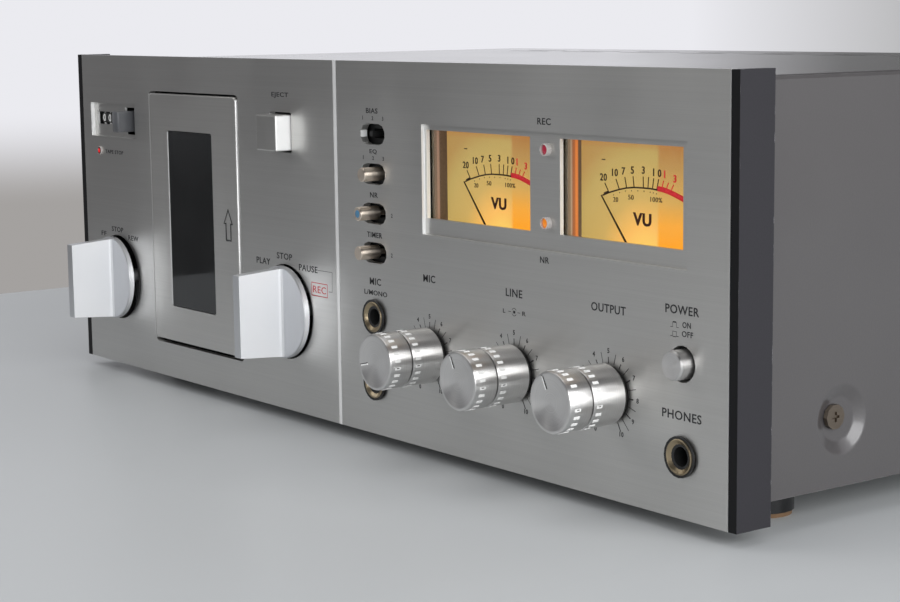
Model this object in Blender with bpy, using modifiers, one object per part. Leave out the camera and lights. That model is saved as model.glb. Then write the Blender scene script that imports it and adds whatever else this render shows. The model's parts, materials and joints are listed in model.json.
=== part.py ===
"""Front-loading stereo cassette deck with an upright cassette door, two lever controls,
two needle meters and three double volume knobs. Metres, +Z up, front towards -Y."""
import math

import bmesh
import bpy
from mathutils import Matrix, Vector

MM = 0.001

# Panel and cabinet
PANEL_WIDTH = 440.0 * MM
PANEL_HEIGHT = 143.7 * MM
PANEL_THICK = 3.0 * MM
PANEL_LIFT = 5.0 * MM
BODY_DEPTH = 262.0 * MM
FIT_GAP = 0.3 * MM
CUT_OVERRUN = 1.0 * MM
END_BAR_WIDTH = 3.6 * MM
END_BAR_DEPTH = 15.1 * MM
SEAM_WIDTH = 1.9 * MM
SEAM_OFFSET = 0.65 * MM

# Places across the panel from its middle, and widths, as shares of the panel's width
ACROSS_SHARES = {"door": -0.256136, "winding_lever": -0.422727, "play_lever": -0.089773,
                 "eject": -0.093182, "counter": -0.424659, "selectors": 0.056364, "meters": 0.288068,
                 "middle_knob": 0.250000, "mic_jacks": 0.055227, "phones": 0.443182, "power": 0.443864,
                 "transformer": -0.363636, "rear_sockets": 0.306818, "mains_inlet": -0.340909,
                 "plate_left_end": -0.468636, "plate_right_end": -0.041364, "board_left_end": -0.136364,
                 "board_right_end": 0.454545}
WIDTH_SHARES = {"meters": 0.320227, "knob_pitch": 0.113636, "vent_pitch": 0.095455}

# Places up the panel from its lower edge, and heights, as shares of the panel's height
UP_SHARES = {"door": 0.118302, "levers": 0.284621, "eject": 0.744607, "counter": 0.791928,
             "top_selector": 0.807933, "meter_recess": 0.560195, "meter_windows": 0.601949,
             "meter_pockets": 0.519833, "knobs": 0.249478, "low_mic_jack": 0.140571, "phones": 0.141962,
             "power": 0.350731, "rear_sockets": 0.556715, "mains_inlet": 0.208768,
             "plate_wing_top": 0.556715}
HEIGHT_SHARES = {"door": 0.768267, "selector_pitch": 0.105080, "meter_recess": 0.282533,
                 "meter_windows": 0.226862, "mic_jack_pitch": 0.179541}

# Sizes as shares of the piece that they belong to
WINDOW_WIDTH_SHARE = 0.514667
WINDOW_HEIGHT_SHARE = 0.710145
BRIDGE_HEIGHT_SHARE = 0.507246
METER_WINDOW_WIDTH_SHARE = 0.427608
METER_SPACING_SHARE = 0.541164
NEEDLE_LENGTH_SHARE = 0.904908

# Places behind the panel, as shares of the body's depth
BOARD_FRONT_SHARE = 0.458015
BOARD_REAR_SHARE = 0.916031
TRANSFORMER_SHARE = 0.791985

# Top cover, tray and rear panel
SHEET = 1.0 * MM
COVER_INSET = 4.0 * MM
COVER_DROP = 2.3 * MM
COVER_RISE = 6.7 * MM
COVER_CORNER = 1.5 * MM
DIMPLE_Y = 51.5 * MM
DIMPLE_RISE = 22.3 * MM
DIMPLE_RADIUS = 11.5 * MM
DIMPLE_FLOOR_RADIUS = 7.5 * MM
DIMPLE_DEPTH = 1.8 * MM
SCREW_AHEAD = 2.8 * MM
SCREW_LIFT = 1.2 * MM
SCREW_RADIUS = 1.7 * MM
SCREW_LENGTH = 7.0 * MM
SCREW_HEAD_RADIUS = 4.2 * MM
SCREW_HEAD_THICK = 1.5 * MM
SCREW_SLOT_WIDTH = 1.0 * MM
SCREW_SLOT_DEPTH = 0.7 * MM
VENT_ROWS = 2
VENT_COLUMNS = 8
VENT_LENGTH = 30.0 * MM
VENT_WIDTH = 3.0 * MM
VENT_PITCH_X = PANEL_WIDTH * WIDTH_SHARES["vent_pitch"]
VENT_PITCH_Y = 12.0 * MM
VENT_REAR_INSET = 34.0 * MM
TRAY_SIDE_GAP = 2.1 * MM
TRAY_THICK = 1.2 * MM
TRAY_RISE = 6.9 * MM
TRAY_FLANGE = 28.0 * MM
TRAY_LIP = 5.6 * MM
TRAY_LIP_INSET = 0.5 * MM
REAR_RISE = 8.5 * MM

# Feet
FOOT_RADIUS = 11.0 * MM
FOOT_PAD_RADIUS = 10.3 * MM
FOOT_PAD_THICK = 1.6 * MM
FOOT_SIDE_INSET = 30.0 * MM
FOOT_FRONT_Y = 41.5 * MM
FOOT_REAR_INSET = 40.0 * MM

# Cassette door, window and holder
DOOR_X = PANEL_WIDTH * ACROSS_SHARES["door"]
DOOR_RISE = PANEL_HEIGHT * UP_SHARES["door"]
DOOR_WIDTH = 75.0 * MM
DOOR_HEIGHT = PANEL_HEIGHT * HEIGHT_SHARES["door"]
DOOR_THICK = 3.0 * MM
DOOR_PROUD = 0.65 * MM
DOOR_CORNER = 2.0 * MM
DOOR_ROUND = 0.9 * MM
DOOR_SIDE_GAP = 1.3 * MM
DOOR_TOP_GAP = 0.9 * MM
DOOR_BOTTOM_GAP = 1.8 * MM
WINDOW_WIDTH = DOOR_WIDTH * WINDOW_WIDTH_SHARE
WINDOW_HEIGHT = DOOR_HEIGHT * WINDOW_HEIGHT_SHARE
WINDOW_CORNER = 1.0 * MM
WINDOW_SHEET = 1.5 * MM
WINDOW_LAP = 4.7 * MM
HOLDER_WALL = 3.0 * MM
HOLDER_SIDE_INSET = 1.9 * MM
HOLDER_END_INSET = 3.4 * MM
HOLDER_DEPTH = 13.85 * MM
HOLDER_STRIP = 1.2 * MM
HOLDER_SHELF = 2.8 * MM
HOLDER_SHELF_INSET = 0.4 * MM
HOLDER_LIP = 4.3 * MM
PIVOT_Y = 4.8 * MM
PIVOT_RISE = 6.0 * MM
PIVOT_RADIUS = 1.0 * MM
PIVOT_REACH = 7.9 * MM
LUG_THICK = 2.0 * MM
LUG_HEIGHT = 12.0 * MM

# Mechanism plate and tape transport
PLATE_Y = 19.0 * MM
PLATE_THICK = 2.0 * MM
PLATE_TOP_DROP = 9.7 * MM
PLATE_PAST_DOOR = 6.0 * MM
HUB_X_SHIFT = 2.2 * MM
HUB_MIDDLE_SHIFT = 0.1 * MM
HUB_SPACING = 42.5 * MM
SPINDLE_TIP_Y = 8.6 * MM
SPINDLE_RADIUS = 2.9 * MM
SPINDLE_NOSE = 1.4 * MM
SPINDLE_FIN_REACH = 4.2 * MM
SPINDLE_FIN_THICK = 1.2 * MM
REEL_TABLE_RADIUS = 9.0 * MM
REEL_TABLE_THICK = 2.0 * MM
SPINDLE_SHAFT_RADIUS = 1.5 * MM
REEL_PULLEY_RADIUS = 8.0 * MM
REEL_PULLEY_THICK = 3.0 * MM
REEL_PULLEY_GAP = 2.0 * MM
CAPSTAN_RIGHT = 28.5 * MM
CAPSTAN_UP = 20.3 * MM
CAPSTAN_RADIUS = 1.2 * MM
CAPSTAN_END = 4.0 * MM
FLYWHEEL_RADIUS = 26.0 * MM
FLYWHEEL_Y = 32.0 * MM
FLYWHEEL_THICK = 6.0 * MM
BELT_WIDTH = 4.0 * MM
BELT_THICK = 0.8 * MM
MOTOR_LEFT = 31.1 * MM
MOTOR_DOWN = 26.1 * MM
MOTOR_RADIUS = 18.0 * MM
MOTOR_LENGTH = 35.0 * MM
MOTOR_SHAFT_RADIUS = 1.0 * MM
MOTOR_SHAFT_DEPTH = 4.0 * MM
MOTOR_PULLEY_RADIUS = 4.0 * MM
MOTOR_POST_RADIUS = 3.0 * MM
MOTOR_POST_COUNT = 3
MOTOR_POST_TURN = math.radians(75.0)
MOTOR_CLEARANCE = 2.0 * MM

# Head bridge, heads and pinch roller
BRIDGE_LEFT_GAP = 1.8 * MM
BRIDGE_WIDTH = 38.0 * MM
BRIDGE_HEIGHT = DOOR_HEIGHT * BRIDGE_HEIGHT_SHARE
BRIDGE_THICK = 1.5 * MM
BRIDGE_DROP = 1.9 * MM
HEAD_FRONT_Y = 8.0 * MM
HEAD_LENGTH = 14.0 * MM
HEAD_HEIGHT = 12.0 * MM
HEAD_CROWN = 2.5 * MM
ERASE_HEAD_LENGTH = 12.0 * MM
ERASE_HEAD_HEIGHT = 8.0 * MM
ERASE_HEAD_DROP = 17.1 * MM
HEAD_SETBACK = 1.0 * MM
PINCH_RADIUS = 6.5 * MM
PINCH_RIGHT = 19.7 * MM
PINCH_FRONT_Y = 9.0 * MM
PINCH_PIN_RADIUS = 1.2 * MM
PINCH_CAP_RADIUS = 2.4 * MM
PINCH_CAP_THICK = 0.9 * MM
STUD_RADIUS = 1.4 * MM
STUD_CAP_RADIUS = 2.4 * MM
STUD_CAP_THICK = 1.2 * MM
STUD_LEFT_INSET = 21.0 * MM
STUD_END_INSET = 6.0 * MM

# Lever controls
LEVER_RISE = PANEL_HEIGHT * UP_SHARES["levers"]
WINDING_LEVER_X = PANEL_WIDTH * ACROSS_SHARES["winding_lever"]
PLAY_LEVER_X = PANEL_WIDTH * ACROSS_SHARES["play_lever"]
LEVER_DISC_RADIUS = 19.0 * MM
LEVER_HOLE_RADIUS = 19.6 * MM
LEVER_DISC_THICK = 2.3 * MM
WINDING_DISC_BACK = 2.1 * MM
PLAY_DISC_BACK = 1.0 * MM
LEVER_BAR_WIDTH = 4.9 * MM
LEVER_BAR_REACH = 20.3 * MM
LEVER_BAR_TIP_HEIGHT = 33.6 * MM
LEVER_BAR_ROOT_HEIGHT = 36.6 * MM
LEVER_FILLET = 1.8 * MM
LEVER_EDGE = 0.4 * MM
LEVER_SHAFT_RADIUS = 3.0 * MM
LEVER_SHAFT_PAST_PLATE = 3.0 * MM

# Eject button
EJECT_X = PANEL_WIDTH * ACROSS_SHARES["eject"]
EJECT_RISE = PANEL_HEIGHT * UP_SHARES["eject"]
EJECT_WIDTH = 15.0 * MM
EJECT_HEIGHT = 14.5 * MM
EJECT_REACH = 7.0 * MM
EJECT_BACK_Y = 8.0 * MM
EJECT_EDGE = 0.6 * MM
EJECT_STEM = 6.0 * MM
EJECT_STEM_PAST_PLATE = 5.0 * MM
BUTTON_HOLE_GAP = 0.85 * MM

# Tape counter and stop lamp
COUNTER_RECESS_X = PANEL_WIDTH * ACROSS_SHARES["counter"]
COUNTER_RECESS_WIDTH = 42.9 * MM
COUNTER_RECESS_HEIGHT = 15.6 * MM
COUNTER_RECESS_DEPTH = 1.9 * MM
COUNTER_Z = PANEL_HEIGHT * UP_SHARES["counter"]
COUNTER_WINDOW_LEFT = 9.55 * MM
COUNTER_WINDOW_WIDTH = 17.7 * MM
COUNTER_WINDOW_HEIGHT = 5.9 * MM
COUNTER_WINDOW_LIFT = 0.65 * MM
COUNTER_WHEEL_RADIUS = 6.5 * MM
COUNTER_WHEEL_WIDTH = 5.0 * MM
COUNTER_WHEEL_GAP = 0.4 * MM
COUNTER_WHEEL_CHAMFER = 0.3 * MM
COUNTER_AXLE_RADIUS = 1.0 * MM
COUNTER_AXLE_Y = 10.0 * MM
COUNTER_PLATE = 1.2 * MM
COUNTER_PLATE_HEIGHT = 14.0 * MM
COUNTER_SIDE_ROOM = 2.0 * MM
COUNTER_BACK_Y = 17.0 * MM
COUNTER_BACK_REACH = 20.85 * MM
COUNTER_LAP = 0.4 * MM
COUNTER_ARM_INSET = 0.5 * MM
RESET_RIGHT = 14.05 * MM
RESET_WIDTH = 5.6 * MM
RESET_HEIGHT = 9.4 * MM
RESET_REACH = 6.2 * MM
RESET_BACK_Y = 10.0 * MM
RESET_HOLE_WIDTH = 10.0 * MM
RESET_HOLE_HEIGHT = 12.4 * MM
RESET_STEM_WIDTH = 3.4 * MM
RESET_STEM_HEIGHT = 6.0 * MM
RESET_STEM_PAST_GUIDE = 4.0 * MM
LAMP_RADIUS = 1.6 * MM
LAMP_LEFT = 13.05 * MM
LAMP_DROP = 14.5 * MM
LAMP_REACH = 0.9 * MM
LAMP_BODY_Y = 12.0 * MM
LAMP_BODY = 4.0 * MM

# Selector switches
SELECTOR_X = PANEL_WIDTH * ACROSS_SHARES["selectors"]
SELECTOR_TOP_Z = PANEL_HEIGHT * UP_SHARES["top_selector"]
SELECTOR_PITCH = PANEL_HEIGHT * HEIGHT_SHARES["selector_pitch"]
SELECTOR_NAMES = ("bias", "eq", "nr", "timer")
SELECTOR_REST_SHARES = {"bias": -1.0, "eq": 0.0, "nr": -1.0, "timer": -1.0}
SELECTOR_THROW = 3.0 * MM
SELECTOR_SLOT_HALF = 8.1 * MM
SELECTOR_SLOT_RADIUS = 4.0 * MM
SELECTOR_CAP_RADIUS = 2.7 * MM
SELECTOR_CAP_REACH = 5.6 * MM
SELECTOR_CAP_BACK_Y = 3.5 * MM
SELECTOR_CAP_EDGE = 0.3 * MM
SELECTOR_STEM = 2.0 * MM
SELECTOR_BARE_TIP_Y = 1.5 * MM
SELECTOR_SLIDER_LENGTH = 5.0 * MM
SELECTOR_SLIDER_HEIGHT = 3.2 * MM
SELECTOR_SLIDER_DEPTH = 3.0 * MM
SWITCH_LENGTH = 18.0 * MM
SWITCH_HEIGHT = 10.0 * MM
SWITCH_FRONT_Y = 5.0 * MM
SWITCH_BOARD_Y = 14.0 * MM
SWITCH_FLOOR = 1.5 * MM
BOARD_THICK = 1.6 * MM
SWITCH_BOARD_WIDTH = 22.0 * MM
SWITCH_BOARD_MARGIN = 9.4 * MM
SWITCH_POST_RADIUS = 1.8 * MM
SWITCH_POST_INSET = 2.2 * MM

# Meters
METER_RECESS_X = PANEL_WIDTH * ACROSS_SHARES["meters"]
METER_RECESS_WIDTH = PANEL_WIDTH * WIDTH_SHARES["meters"]
METER_RECESS_RISE = PANEL_HEIGHT * UP_SHARES["meter_recess"]
METER_RECESS_HEIGHT = PANEL_HEIGHT * HEIGHT_SHARES["meter_recess"]
METER_RECESS_DEPTH = 1.5 * MM
METER_WINDOW_WIDTH = METER_RECESS_WIDTH * METER_WINDOW_WIDTH_SHARE
METER_WINDOW_RISE = PANEL_HEIGHT * UP_SHARES["meter_windows"]
METER_WINDOW_HEIGHT = PANEL_HEIGHT * HEIGHT_SHARES["meter_windows"]
METER_SPACING = METER_RECESS_WIDTH * METER_SPACING_SHARE
METER_MIDDLE_SHIFT = -1.07 * MM
METER_SHEET = 1.5 * MM
METER_SHEET_MARGIN = 2.0 * MM
METER_POCKET_INSET = 0.3 * MM
METER_POCKET_RISE = PANEL_HEIGHT * UP_SHARES["meter_pockets"]
METER_POCKET_TOP_ROOM = 0.5 * MM
METER_SCALE_Y = 11.0 * MM
METER_WALL = 1.5 * MM
METER_BACK_Y = 28.0 * MM
METER_LAMP_SHIFT = 1.43 * MM
METER_LAMP_TOP_DROP = 4.0 * MM
METER_LAMP_LOW_RISE = 3.5 * MM
METER_LAMP_REACH = 1.0 * MM
METER_BRIDGE_Y = 12.0 * MM
METER_BRIDGE_THICK = 6.0 * MM
NEEDLE_PIVOT_RISE = 2.8 * MM
NEEDLE_LENGTH = METER_WINDOW_HEIGHT * NEEDLE_LENGTH_SHARE
NEEDLE_TIP_WIDTH = 0.45 * MM
NEEDLE_ROOT_WIDTH = 0.8 * MM
NEEDLE_THICK = 0.4 * MM
NEEDLE_SCALE_GAP = 0.4 * MM
NEEDLE_HUB_RADIUS = 2.2 * MM
NEEDLE_PIN_RADIUS = 0.6 * MM
NEEDLE_PIN_DEPTH = 3.0 * MM
NEEDLE_REST = math.radians(-39.7)

# Level knobs
KNOB_NAMES = ("mic", "line", "output")
KNOB_MIDDLE_X = PANEL_WIDTH * ACROSS_SHARES["middle_knob"]
KNOB_PITCH = PANEL_WIDTH * WIDTH_SHARES["knob_pitch"]
KNOB_RISE = PANEL_HEIGHT * UP_SHARES["knobs"]
KNOB_RADIUS = 10.35 * MM
KNOB_FRONT_LENGTH = 9.8 * MM
KNOB_REAR_LENGTH = 13.8 * MM
KNOB_SPLIT = 0.4 * MM
KNOB_CHAMFER = 0.5 * MM
KNOB_POINTER_WIDTH = 0.8 * MM
KNOB_POINTER_DEPTH = 0.4 * MM
KNOB_POINTER_INNER = 4.6 * MM
KNOB_SHAFT_RADIUS = 1.5 * MM
KNOB_SLEEVE_WALL = 1.1 * MM
KNOB_SHAFT_DEPTH = 5.4 * MM
KNOB_POINTS = {"mic": math.radians(-103.0), "line": math.radians(-25.5), "output": math.radians(-25.5)}
WASHER_RADIUS = 9.8 * MM
WASHER_THICK = 0.6 * MM
BUSH_WALL = 0.7 * MM
POT_RADIUS = 8.0 * MM
POT_FRONT_Y = 5.0 * MM
POT_BOARD_Y = 18.0 * MM
POT_BOARD_MARGIN = 15.0 * MM
POT_BOARD_HEIGHT = 32.0 * MM

# Jacks, power switch and button
JACK_BORE_RADIUS = 3.25 * MM
JACK_BORE_DEPTH = 22.0 * MM
JACK_BARREL_RADIUS = 5.2 * MM
JACK_FLANGE_RADIUS = 6.8 * MM
JACK_FLANGE_THICK = 0.9 * MM
JACK_BODY = 14.0 * MM
JACK_BODY_BACK_Y = 24.0 * MM
MIC_JACK_X = PANEL_WIDTH * ACROSS_SHARES["mic_jacks"]
MIC_JACK_LOW_Z = PANEL_HEIGHT * UP_SHARES["low_mic_jack"]
MIC_JACK_PITCH = PANEL_HEIGHT * HEIGHT_SHARES["mic_jack_pitch"]
JACK_BOARD_WIDTH = 20.0 * MM
JACK_BOARD_MARGIN = 1.0 * MM
PHONES_X = PANEL_WIDTH * ACROSS_SHARES["phones"]
PHONES_Z = PANEL_HEIGHT * UP_SHARES["phones"]
POWER_X = PANEL_WIDTH * ACROSS_SHARES["power"]
POWER_Z = PANEL_HEIGHT * UP_SHARES["power"]
POWER_BUTTON_RADIUS = 4.9 * MM
POWER_HOLE_GAP = 1.1 * MM
POWER_BUTTON_REACH = 4.7 * MM
POWER_BUTTON_BACK_Y = 2.4 * MM
POWER_BUTTON_EDGE = 0.5 * MM
POWER_STEM_RADIUS = 2.0 * MM
POWER_STEM_END_Y = 12.0 * MM
POWER_TRAVEL = 3.0 * MM
POWER_SWITCH_SIDE = 15.0 * MM
POWER_SWITCH_BACK_Y = 30.0 * MM

# Inside and rear
MAIN_BOARD_X = (PANEL_WIDTH * ACROSS_SHARES["board_left_end"],
                PANEL_WIDTH * ACROSS_SHARES["board_right_end"])
MAIN_BOARD_Y = (BODY_DEPTH * BOARD_FRONT_SHARE, BODY_DEPTH * BOARD_REAR_SHARE)
MAIN_BOARD_RISE = 7.9 * MM
BOARD_POST_RADIUS = 3.0 * MM
BOARD_POST_INSET = 8.0 * MM
CAPACITOR_RADIUS = 8.0 * MM
CAPACITOR_HEIGHT = 25.0 * MM
CAPACITOR_PITCH = 22.0 * MM
CAPACITOR_COUNT = 3
HEAT_SINK_LENGTH = 60.0 * MM
HEAT_SINK_WIDTH = 14.0 * MM
HEAT_SINK_HEIGHT = 30.0 * MM
TRANSFORMER_X = PANEL_WIDTH * ACROSS_SHARES["transformer"]
TRANSFORMER_Y = BODY_DEPTH * TRANSFORMER_SHARE
TRANSFORMER_LENGTH = 60.0 * MM
TRANSFORMER_DEPTH = 38.0 * MM
TRANSFORMER_HEIGHT = 50.0 * MM
COIL_LENGTH = 34.0 * MM
COIL_DEPTH = 54.0 * MM
COIL_HEIGHT = 36.0 * MM
SOCKET_BLOCK_X = PANEL_WIDTH * ACROSS_SHARES["rear_sockets"]
SOCKET_BLOCK_Z = PANEL_HEIGHT * UP_SHARES["rear_sockets"]
SOCKET_BLOCK_WIDTH = 90.0 * MM
SOCKET_BLOCK_HEIGHT = 40.0 * MM
SOCKET_PLATE_THICK = 1.5 * MM
SOCKET_BLOCK_MARGIN = 6.0 * MM
SOCKET_BLOCK_DEPTH = 12.0 * MM
SOCKET_RADIUS = 4.0 * MM
SOCKET_REACH = 8.0 * MM
SOCKET_BORE_RADIUS = 1.6 * MM
SOCKET_BORE_DEPTH = 7.0 * MM
SOCKET_COUNT = 4
INLET_X = PANEL_WIDTH * ACROSS_SHARES["mains_inlet"]
INLET_Z = PANEL_HEIGHT * UP_SHARES["mains_inlet"]
INLET_BORE_RADIUS = 3.2 * MM
INLET_NECK_WALL = 1.7 * MM
INLET_FLANGE_RADIUS = 7.0 * MM
INLET_REACH = 5.7 * MM
INLET_NUT_THICK = 3.0 * MM

# Facets of round pieces and turning tolerance
FINE_SIDES = 36
ROUND_SIDES = 20
SMALL_SIDES = 10
CORNER_STEPS = 3
MERGE = 0.01 * MM
SHARP_ANGLE = math.radians(30.0)
FLAT_ANGLE = math.radians(0.1)
HALF_TURN = 180.0

# Places worked out from the sizes above
PANEL_Y = (0.0, PANEL_THICK)
PANEL_Z = (0.0, PANEL_HEIGHT)
PANEL_BACK_SEAT = PANEL_THICK + FIT_GAP
DOOR_LEFT = DOOR_X - DOOR_WIDTH / 2
DOOR_RIGHT = DOOR_X + DOOR_WIDTH / 2
DOOR_TOP = DOOR_RISE + DOOR_HEIGHT
DOOR_BACK = DOOR_THICK - DOOR_PROUD
HUB_X = DOOR_X - HUB_X_SHIFT
HUB_MIDDLE = DOOR_RISE + DOOR_HEIGHT / 2 - HUB_MIDDLE_SHIFT
SUPPLY_AT = (HUB_X, HUB_MIDDLE - HUB_SPACING / 2)
TAKEUP_AT = (HUB_X, HUB_MIDDLE + HUB_SPACING / 2)
CAPSTAN_AT = (HUB_X + CAPSTAN_RIGHT, HUB_MIDDLE + CAPSTAN_UP)
MOTOR_AT = (HUB_X - MOTOR_LEFT, HUB_MIDDLE - MOTOR_DOWN)
MOTOR_FRONT_Y = FLYWHEEL_Y + FLYWHEEL_THICK + MOTOR_CLEARANCE
PINCH_AT = (CAPSTAN_AT[0] + PINCH_RIGHT, CAPSTAN_AT[1])
PIVOT_Z = DOOR_RISE + PIVOT_RISE
HOLDER_LEFT = DOOR_LEFT + HOLDER_SIDE_INSET
HOLDER_RIGHT = DOOR_RIGHT - HOLDER_SIDE_INSET
HOLDER_FRONT_Y = DOOR_BACK + FIT_GAP
HOLDER_BACK_Y = HOLDER_FRONT_Y + HOLDER_DEPTH
HOLDER_BOTTOM = DOOR_RISE + HOLDER_END_INSET / 2
HOLDER_TOP = DOOR_TOP - HOLDER_END_INSET
PLATE_BACK_Y = PLATE_Y + PLATE_THICK
BRIDGE_LEFT = DOOR_RIGHT - BRIDGE_LEFT_GAP
BRIDGE_Y = (PLATE_Y - FIT_GAP - BRIDGE_THICK, PLATE_Y - FIT_GAP)
BRIDGE_MIDDLE = HUB_MIDDLE + BRIDGE_DROP
BRIDGE_BOTTOM = BRIDGE_MIDDLE - BRIDGE_HEIGHT / 2
BRIDGE_TOP = BRIDGE_MIDDLE + BRIDGE_HEIGHT / 2
BRIDGE_TRAVEL = PINCH_RIGHT - PINCH_RADIUS - CAPSTAN_RADIUS - FIT_GAP
STUD_X = BRIDGE_LEFT + STUD_LEFT_INSET
STUD_ENDS = (BRIDGE_BOTTOM + STUD_END_INSET, BRIDGE_TOP - STUD_END_INSET)
TRAY_TOP = TRAY_RISE + TRAY_THICK
FLOOR_SEAT = TRAY_TOP + FIT_GAP
TRAY_HALF = PANEL_WIDTH / 2 - COVER_INSET - SHEET - TRAY_SIDE_GAP
DIMPLE_AT = (DIMPLE_Y, COVER_RISE + DIMPLE_RISE)
COVER_SCREW_AT = (DIMPLE_Y - SCREW_AHEAD, COVER_RISE + DIMPLE_RISE + SCREW_LIFT)
KNOB_BACK = WASHER_THICK + 2 * FIT_GAP
KNOB_REACH = KNOB_BACK + KNOB_REAR_LENGTH + KNOB_SPLIT + KNOB_FRONT_LENGTH
LEVER_REACH = WINDING_DISC_BACK + LEVER_DISC_THICK + LEVER_BAR_REACH
REAR_REACH = BODY_DEPTH + FIT_GAP + SOCKET_PLATE_THICK + SOCKET_REACH
FRONT_REACH = max(KNOB_REACH, LEVER_REACH)
FRONT_Y = FRONT_REACH - (FRONT_REACH + REAR_REACH) / 2
SLEEVE_RADIUS = KNOB_SHAFT_RADIUS + FIT_GAP + KNOB_SLEEVE_WALL
BUSH_BORE = SLEEVE_RADIUS + FIT_GAP
BUSH_RADIUS = BUSH_BORE + BUSH_WALL
METER_CENTRES = (METER_RECESS_X + METER_MIDDLE_SHIFT - METER_SPACING / 2,
                 METER_RECESS_X + METER_MIDDLE_SHIFT + METER_SPACING / 2)
METER_WINDOW_TOP = METER_WINDOW_RISE + METER_WINDOW_HEIGHT
METER_LAMP_X = METER_RECESS_X + METER_MIDDLE_SHIFT + METER_LAMP_SHIFT
METER_LAMPS = ((METER_LAMP_X, METER_WINDOW_TOP - METER_LAMP_TOP_DROP),
               (METER_LAMP_X, METER_WINDOW_RISE + METER_LAMP_LOW_RISE))
METER_HOUSING_Y = PANEL_BACK_SEAT + METER_SHEET + FIT_GAP
NEEDLE_Z = METER_POCKET_RISE + NEEDLE_PIVOT_RISE
COUNTER_WINDOW_X = COUNTER_RECESS_X - COUNTER_WINDOW_LEFT
COUNTER_AXLE_Z = COUNTER_Z + COUNTER_WINDOW_LIFT
RESET_X = COUNTER_RECESS_X + RESET_RIGHT
LAMP_X = COUNTER_RECESS_X - LAMP_LEFT
LAMP_Z = COUNTER_Z - LAMP_DROP
MIC_JACKS = ((MIC_JACK_X, MIC_JACK_LOW_Z), (MIC_JACK_X, MIC_JACK_LOW_Z + MIC_JACK_PITCH))
REAR_PANEL_Y = (BODY_DEPTH - SHEET, BODY_DEPTH)
REAR_SEAT = BODY_DEPTH + FIT_GAP

# Looks: colour, roughness, metallic
BRUSHED_PANEL = ((0.33, 0.33, 0.32), 0.38, 0.85)
POLISHED = ((0.78, 0.78, 0.77), 0.15, 1.0)
SPUN = ((0.62, 0.62, 0.61), 0.28, 1.0)
BLACK_PLASTIC = ((0.02, 0.02, 0.02), 0.45, 0.0)
BLACK_PAINT = ((0.03, 0.03, 0.03), 0.5, 0.1)
COVER_PAINT = ((0.12, 0.115, 0.115), 0.5, 0.3)
ZINC = ((0.5, 0.5, 0.48), 0.42, 0.9)
SMOKED = ((0.06, 0.05, 0.05), 0.08, 0.0)
CLEAR = ((0.85, 0.87, 0.86), 0.05, 0.0)
RUBBER = ((0.025, 0.025, 0.025), 0.8, 0.0)
BRASS = ((0.55, 0.42, 0.2), 0.35, 1.0)
BOARD_RESIN = ((0.22, 0.14, 0.05), 0.6, 0.0)
SCALE_CREAM = ((0.8, 0.55, 0.25), 0.6, 0.0)
CHAMPAGNE = ((0.62, 0.55, 0.45), 0.3, 1.0)
DARK_STEEL = ((0.16, 0.16, 0.17), 0.4, 0.8)

# Axis order for pieces that run along X, Y or Z, and for plates that face them
ALONG = {"X": Matrix(((0, 0, 1), (1, 0, 0), (0, 1, 0))),
         "Y": Matrix(((0, 1, 0), (0, 0, 1), (1, 0, 0))),
         "Z": Matrix.Identity(3)}
FACING = {"X": ALONG["X"], "Y": Matrix(((1, 0, 0), (0, 0, -1), (0, 1, 0))), "Z": Matrix.Identity(3)}


def clear_scene():
    for obj in list(bpy.data.objects):
        bpy.data.objects.remove(obj, do_unlink=True)


def new_collection(name):
    collection = bpy.data.collections.new(name)
    bpy.context.scene.collection.children.link(collection)
    return collection


def new_object(name, bm):
    mesh = bpy.data.meshes.new(name)
    bm.to_mesh(mesh)
    bm.free()
    obj = bpy.data.objects.new(name, mesh)
    SHAPING.objects.link(obj)
    return obj


def point_at(axis, at, along):
    """Point at a place across an axis and a distance along it."""
    if axis == "X":
        return Vector((along, at[0], at[1]))
    if axis == "Y":
        return Vector((at[0], along, at[1]))
    return Vector((at[0], at[1], along))


def around(centre, width):
    return (centre - width / 2, centre + width / 2)


def grown(span, margin):
    return (span[0] - margin, span[1] + margin)


def middle(span):
    return (span[0] + span[1]) / 2


def apply_modifiers(obj):
    bpy.context.view_layer.update()
    evaluated = obj.evaluated_get(bpy.context.evaluated_depsgraph_get())
    mesh = bpy.data.meshes.new_from_object(evaluated)
    old = obj.data
    obj.modifiers.clear()
    obj.data = mesh
    bpy.data.meshes.remove(old)


def combine(obj, operation, tools):
    for tool in tools:
        modifier = obj.modifiers.new(tool.name, "BOOLEAN")
        modifier.operation = operation
        modifier.solver = "EXACT"
        modifier.object = tool
    apply_modifiers(obj)
    for tool in tools:
        bpy.data.objects.remove(tool, do_unlink=True)
    return obj


def cut(obj, *tools):
    return combine(obj, "DIFFERENCE", tools)


def join(obj, *tools):
    return combine(obj, "UNION", tools)


def round_edges(obj, width, segments=2):
    bevel = obj.modifiers.new("Rounded edges", "BEVEL")
    bevel.width = width
    bevel.segments = segments
    bevel.limit_method = "ANGLE"
    bevel.angle_limit = SHARP_ANGLE
    apply_modifiers(obj)
    bm = bmesh.new()
    bm.from_mesh(obj.data)
    bmesh.ops.remove_doubles(bm, verts=bm.verts, dist=MERGE)
    bm.to_mesh(obj.data)
    bm.free()
    return obj


def box(name, x, y, z):
    bm = bmesh.new()
    bmesh.ops.create_cube(bm, size=1.0)
    bmesh.ops.scale(bm, vec=(x[1] - x[0], y[1] - y[0], z[1] - z[0]), verts=bm.verts)
    bmesh.ops.translate(bm, vec=(middle(x), middle(y), middle(z)), verts=bm.verts)
    return new_object(name, bm)


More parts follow.
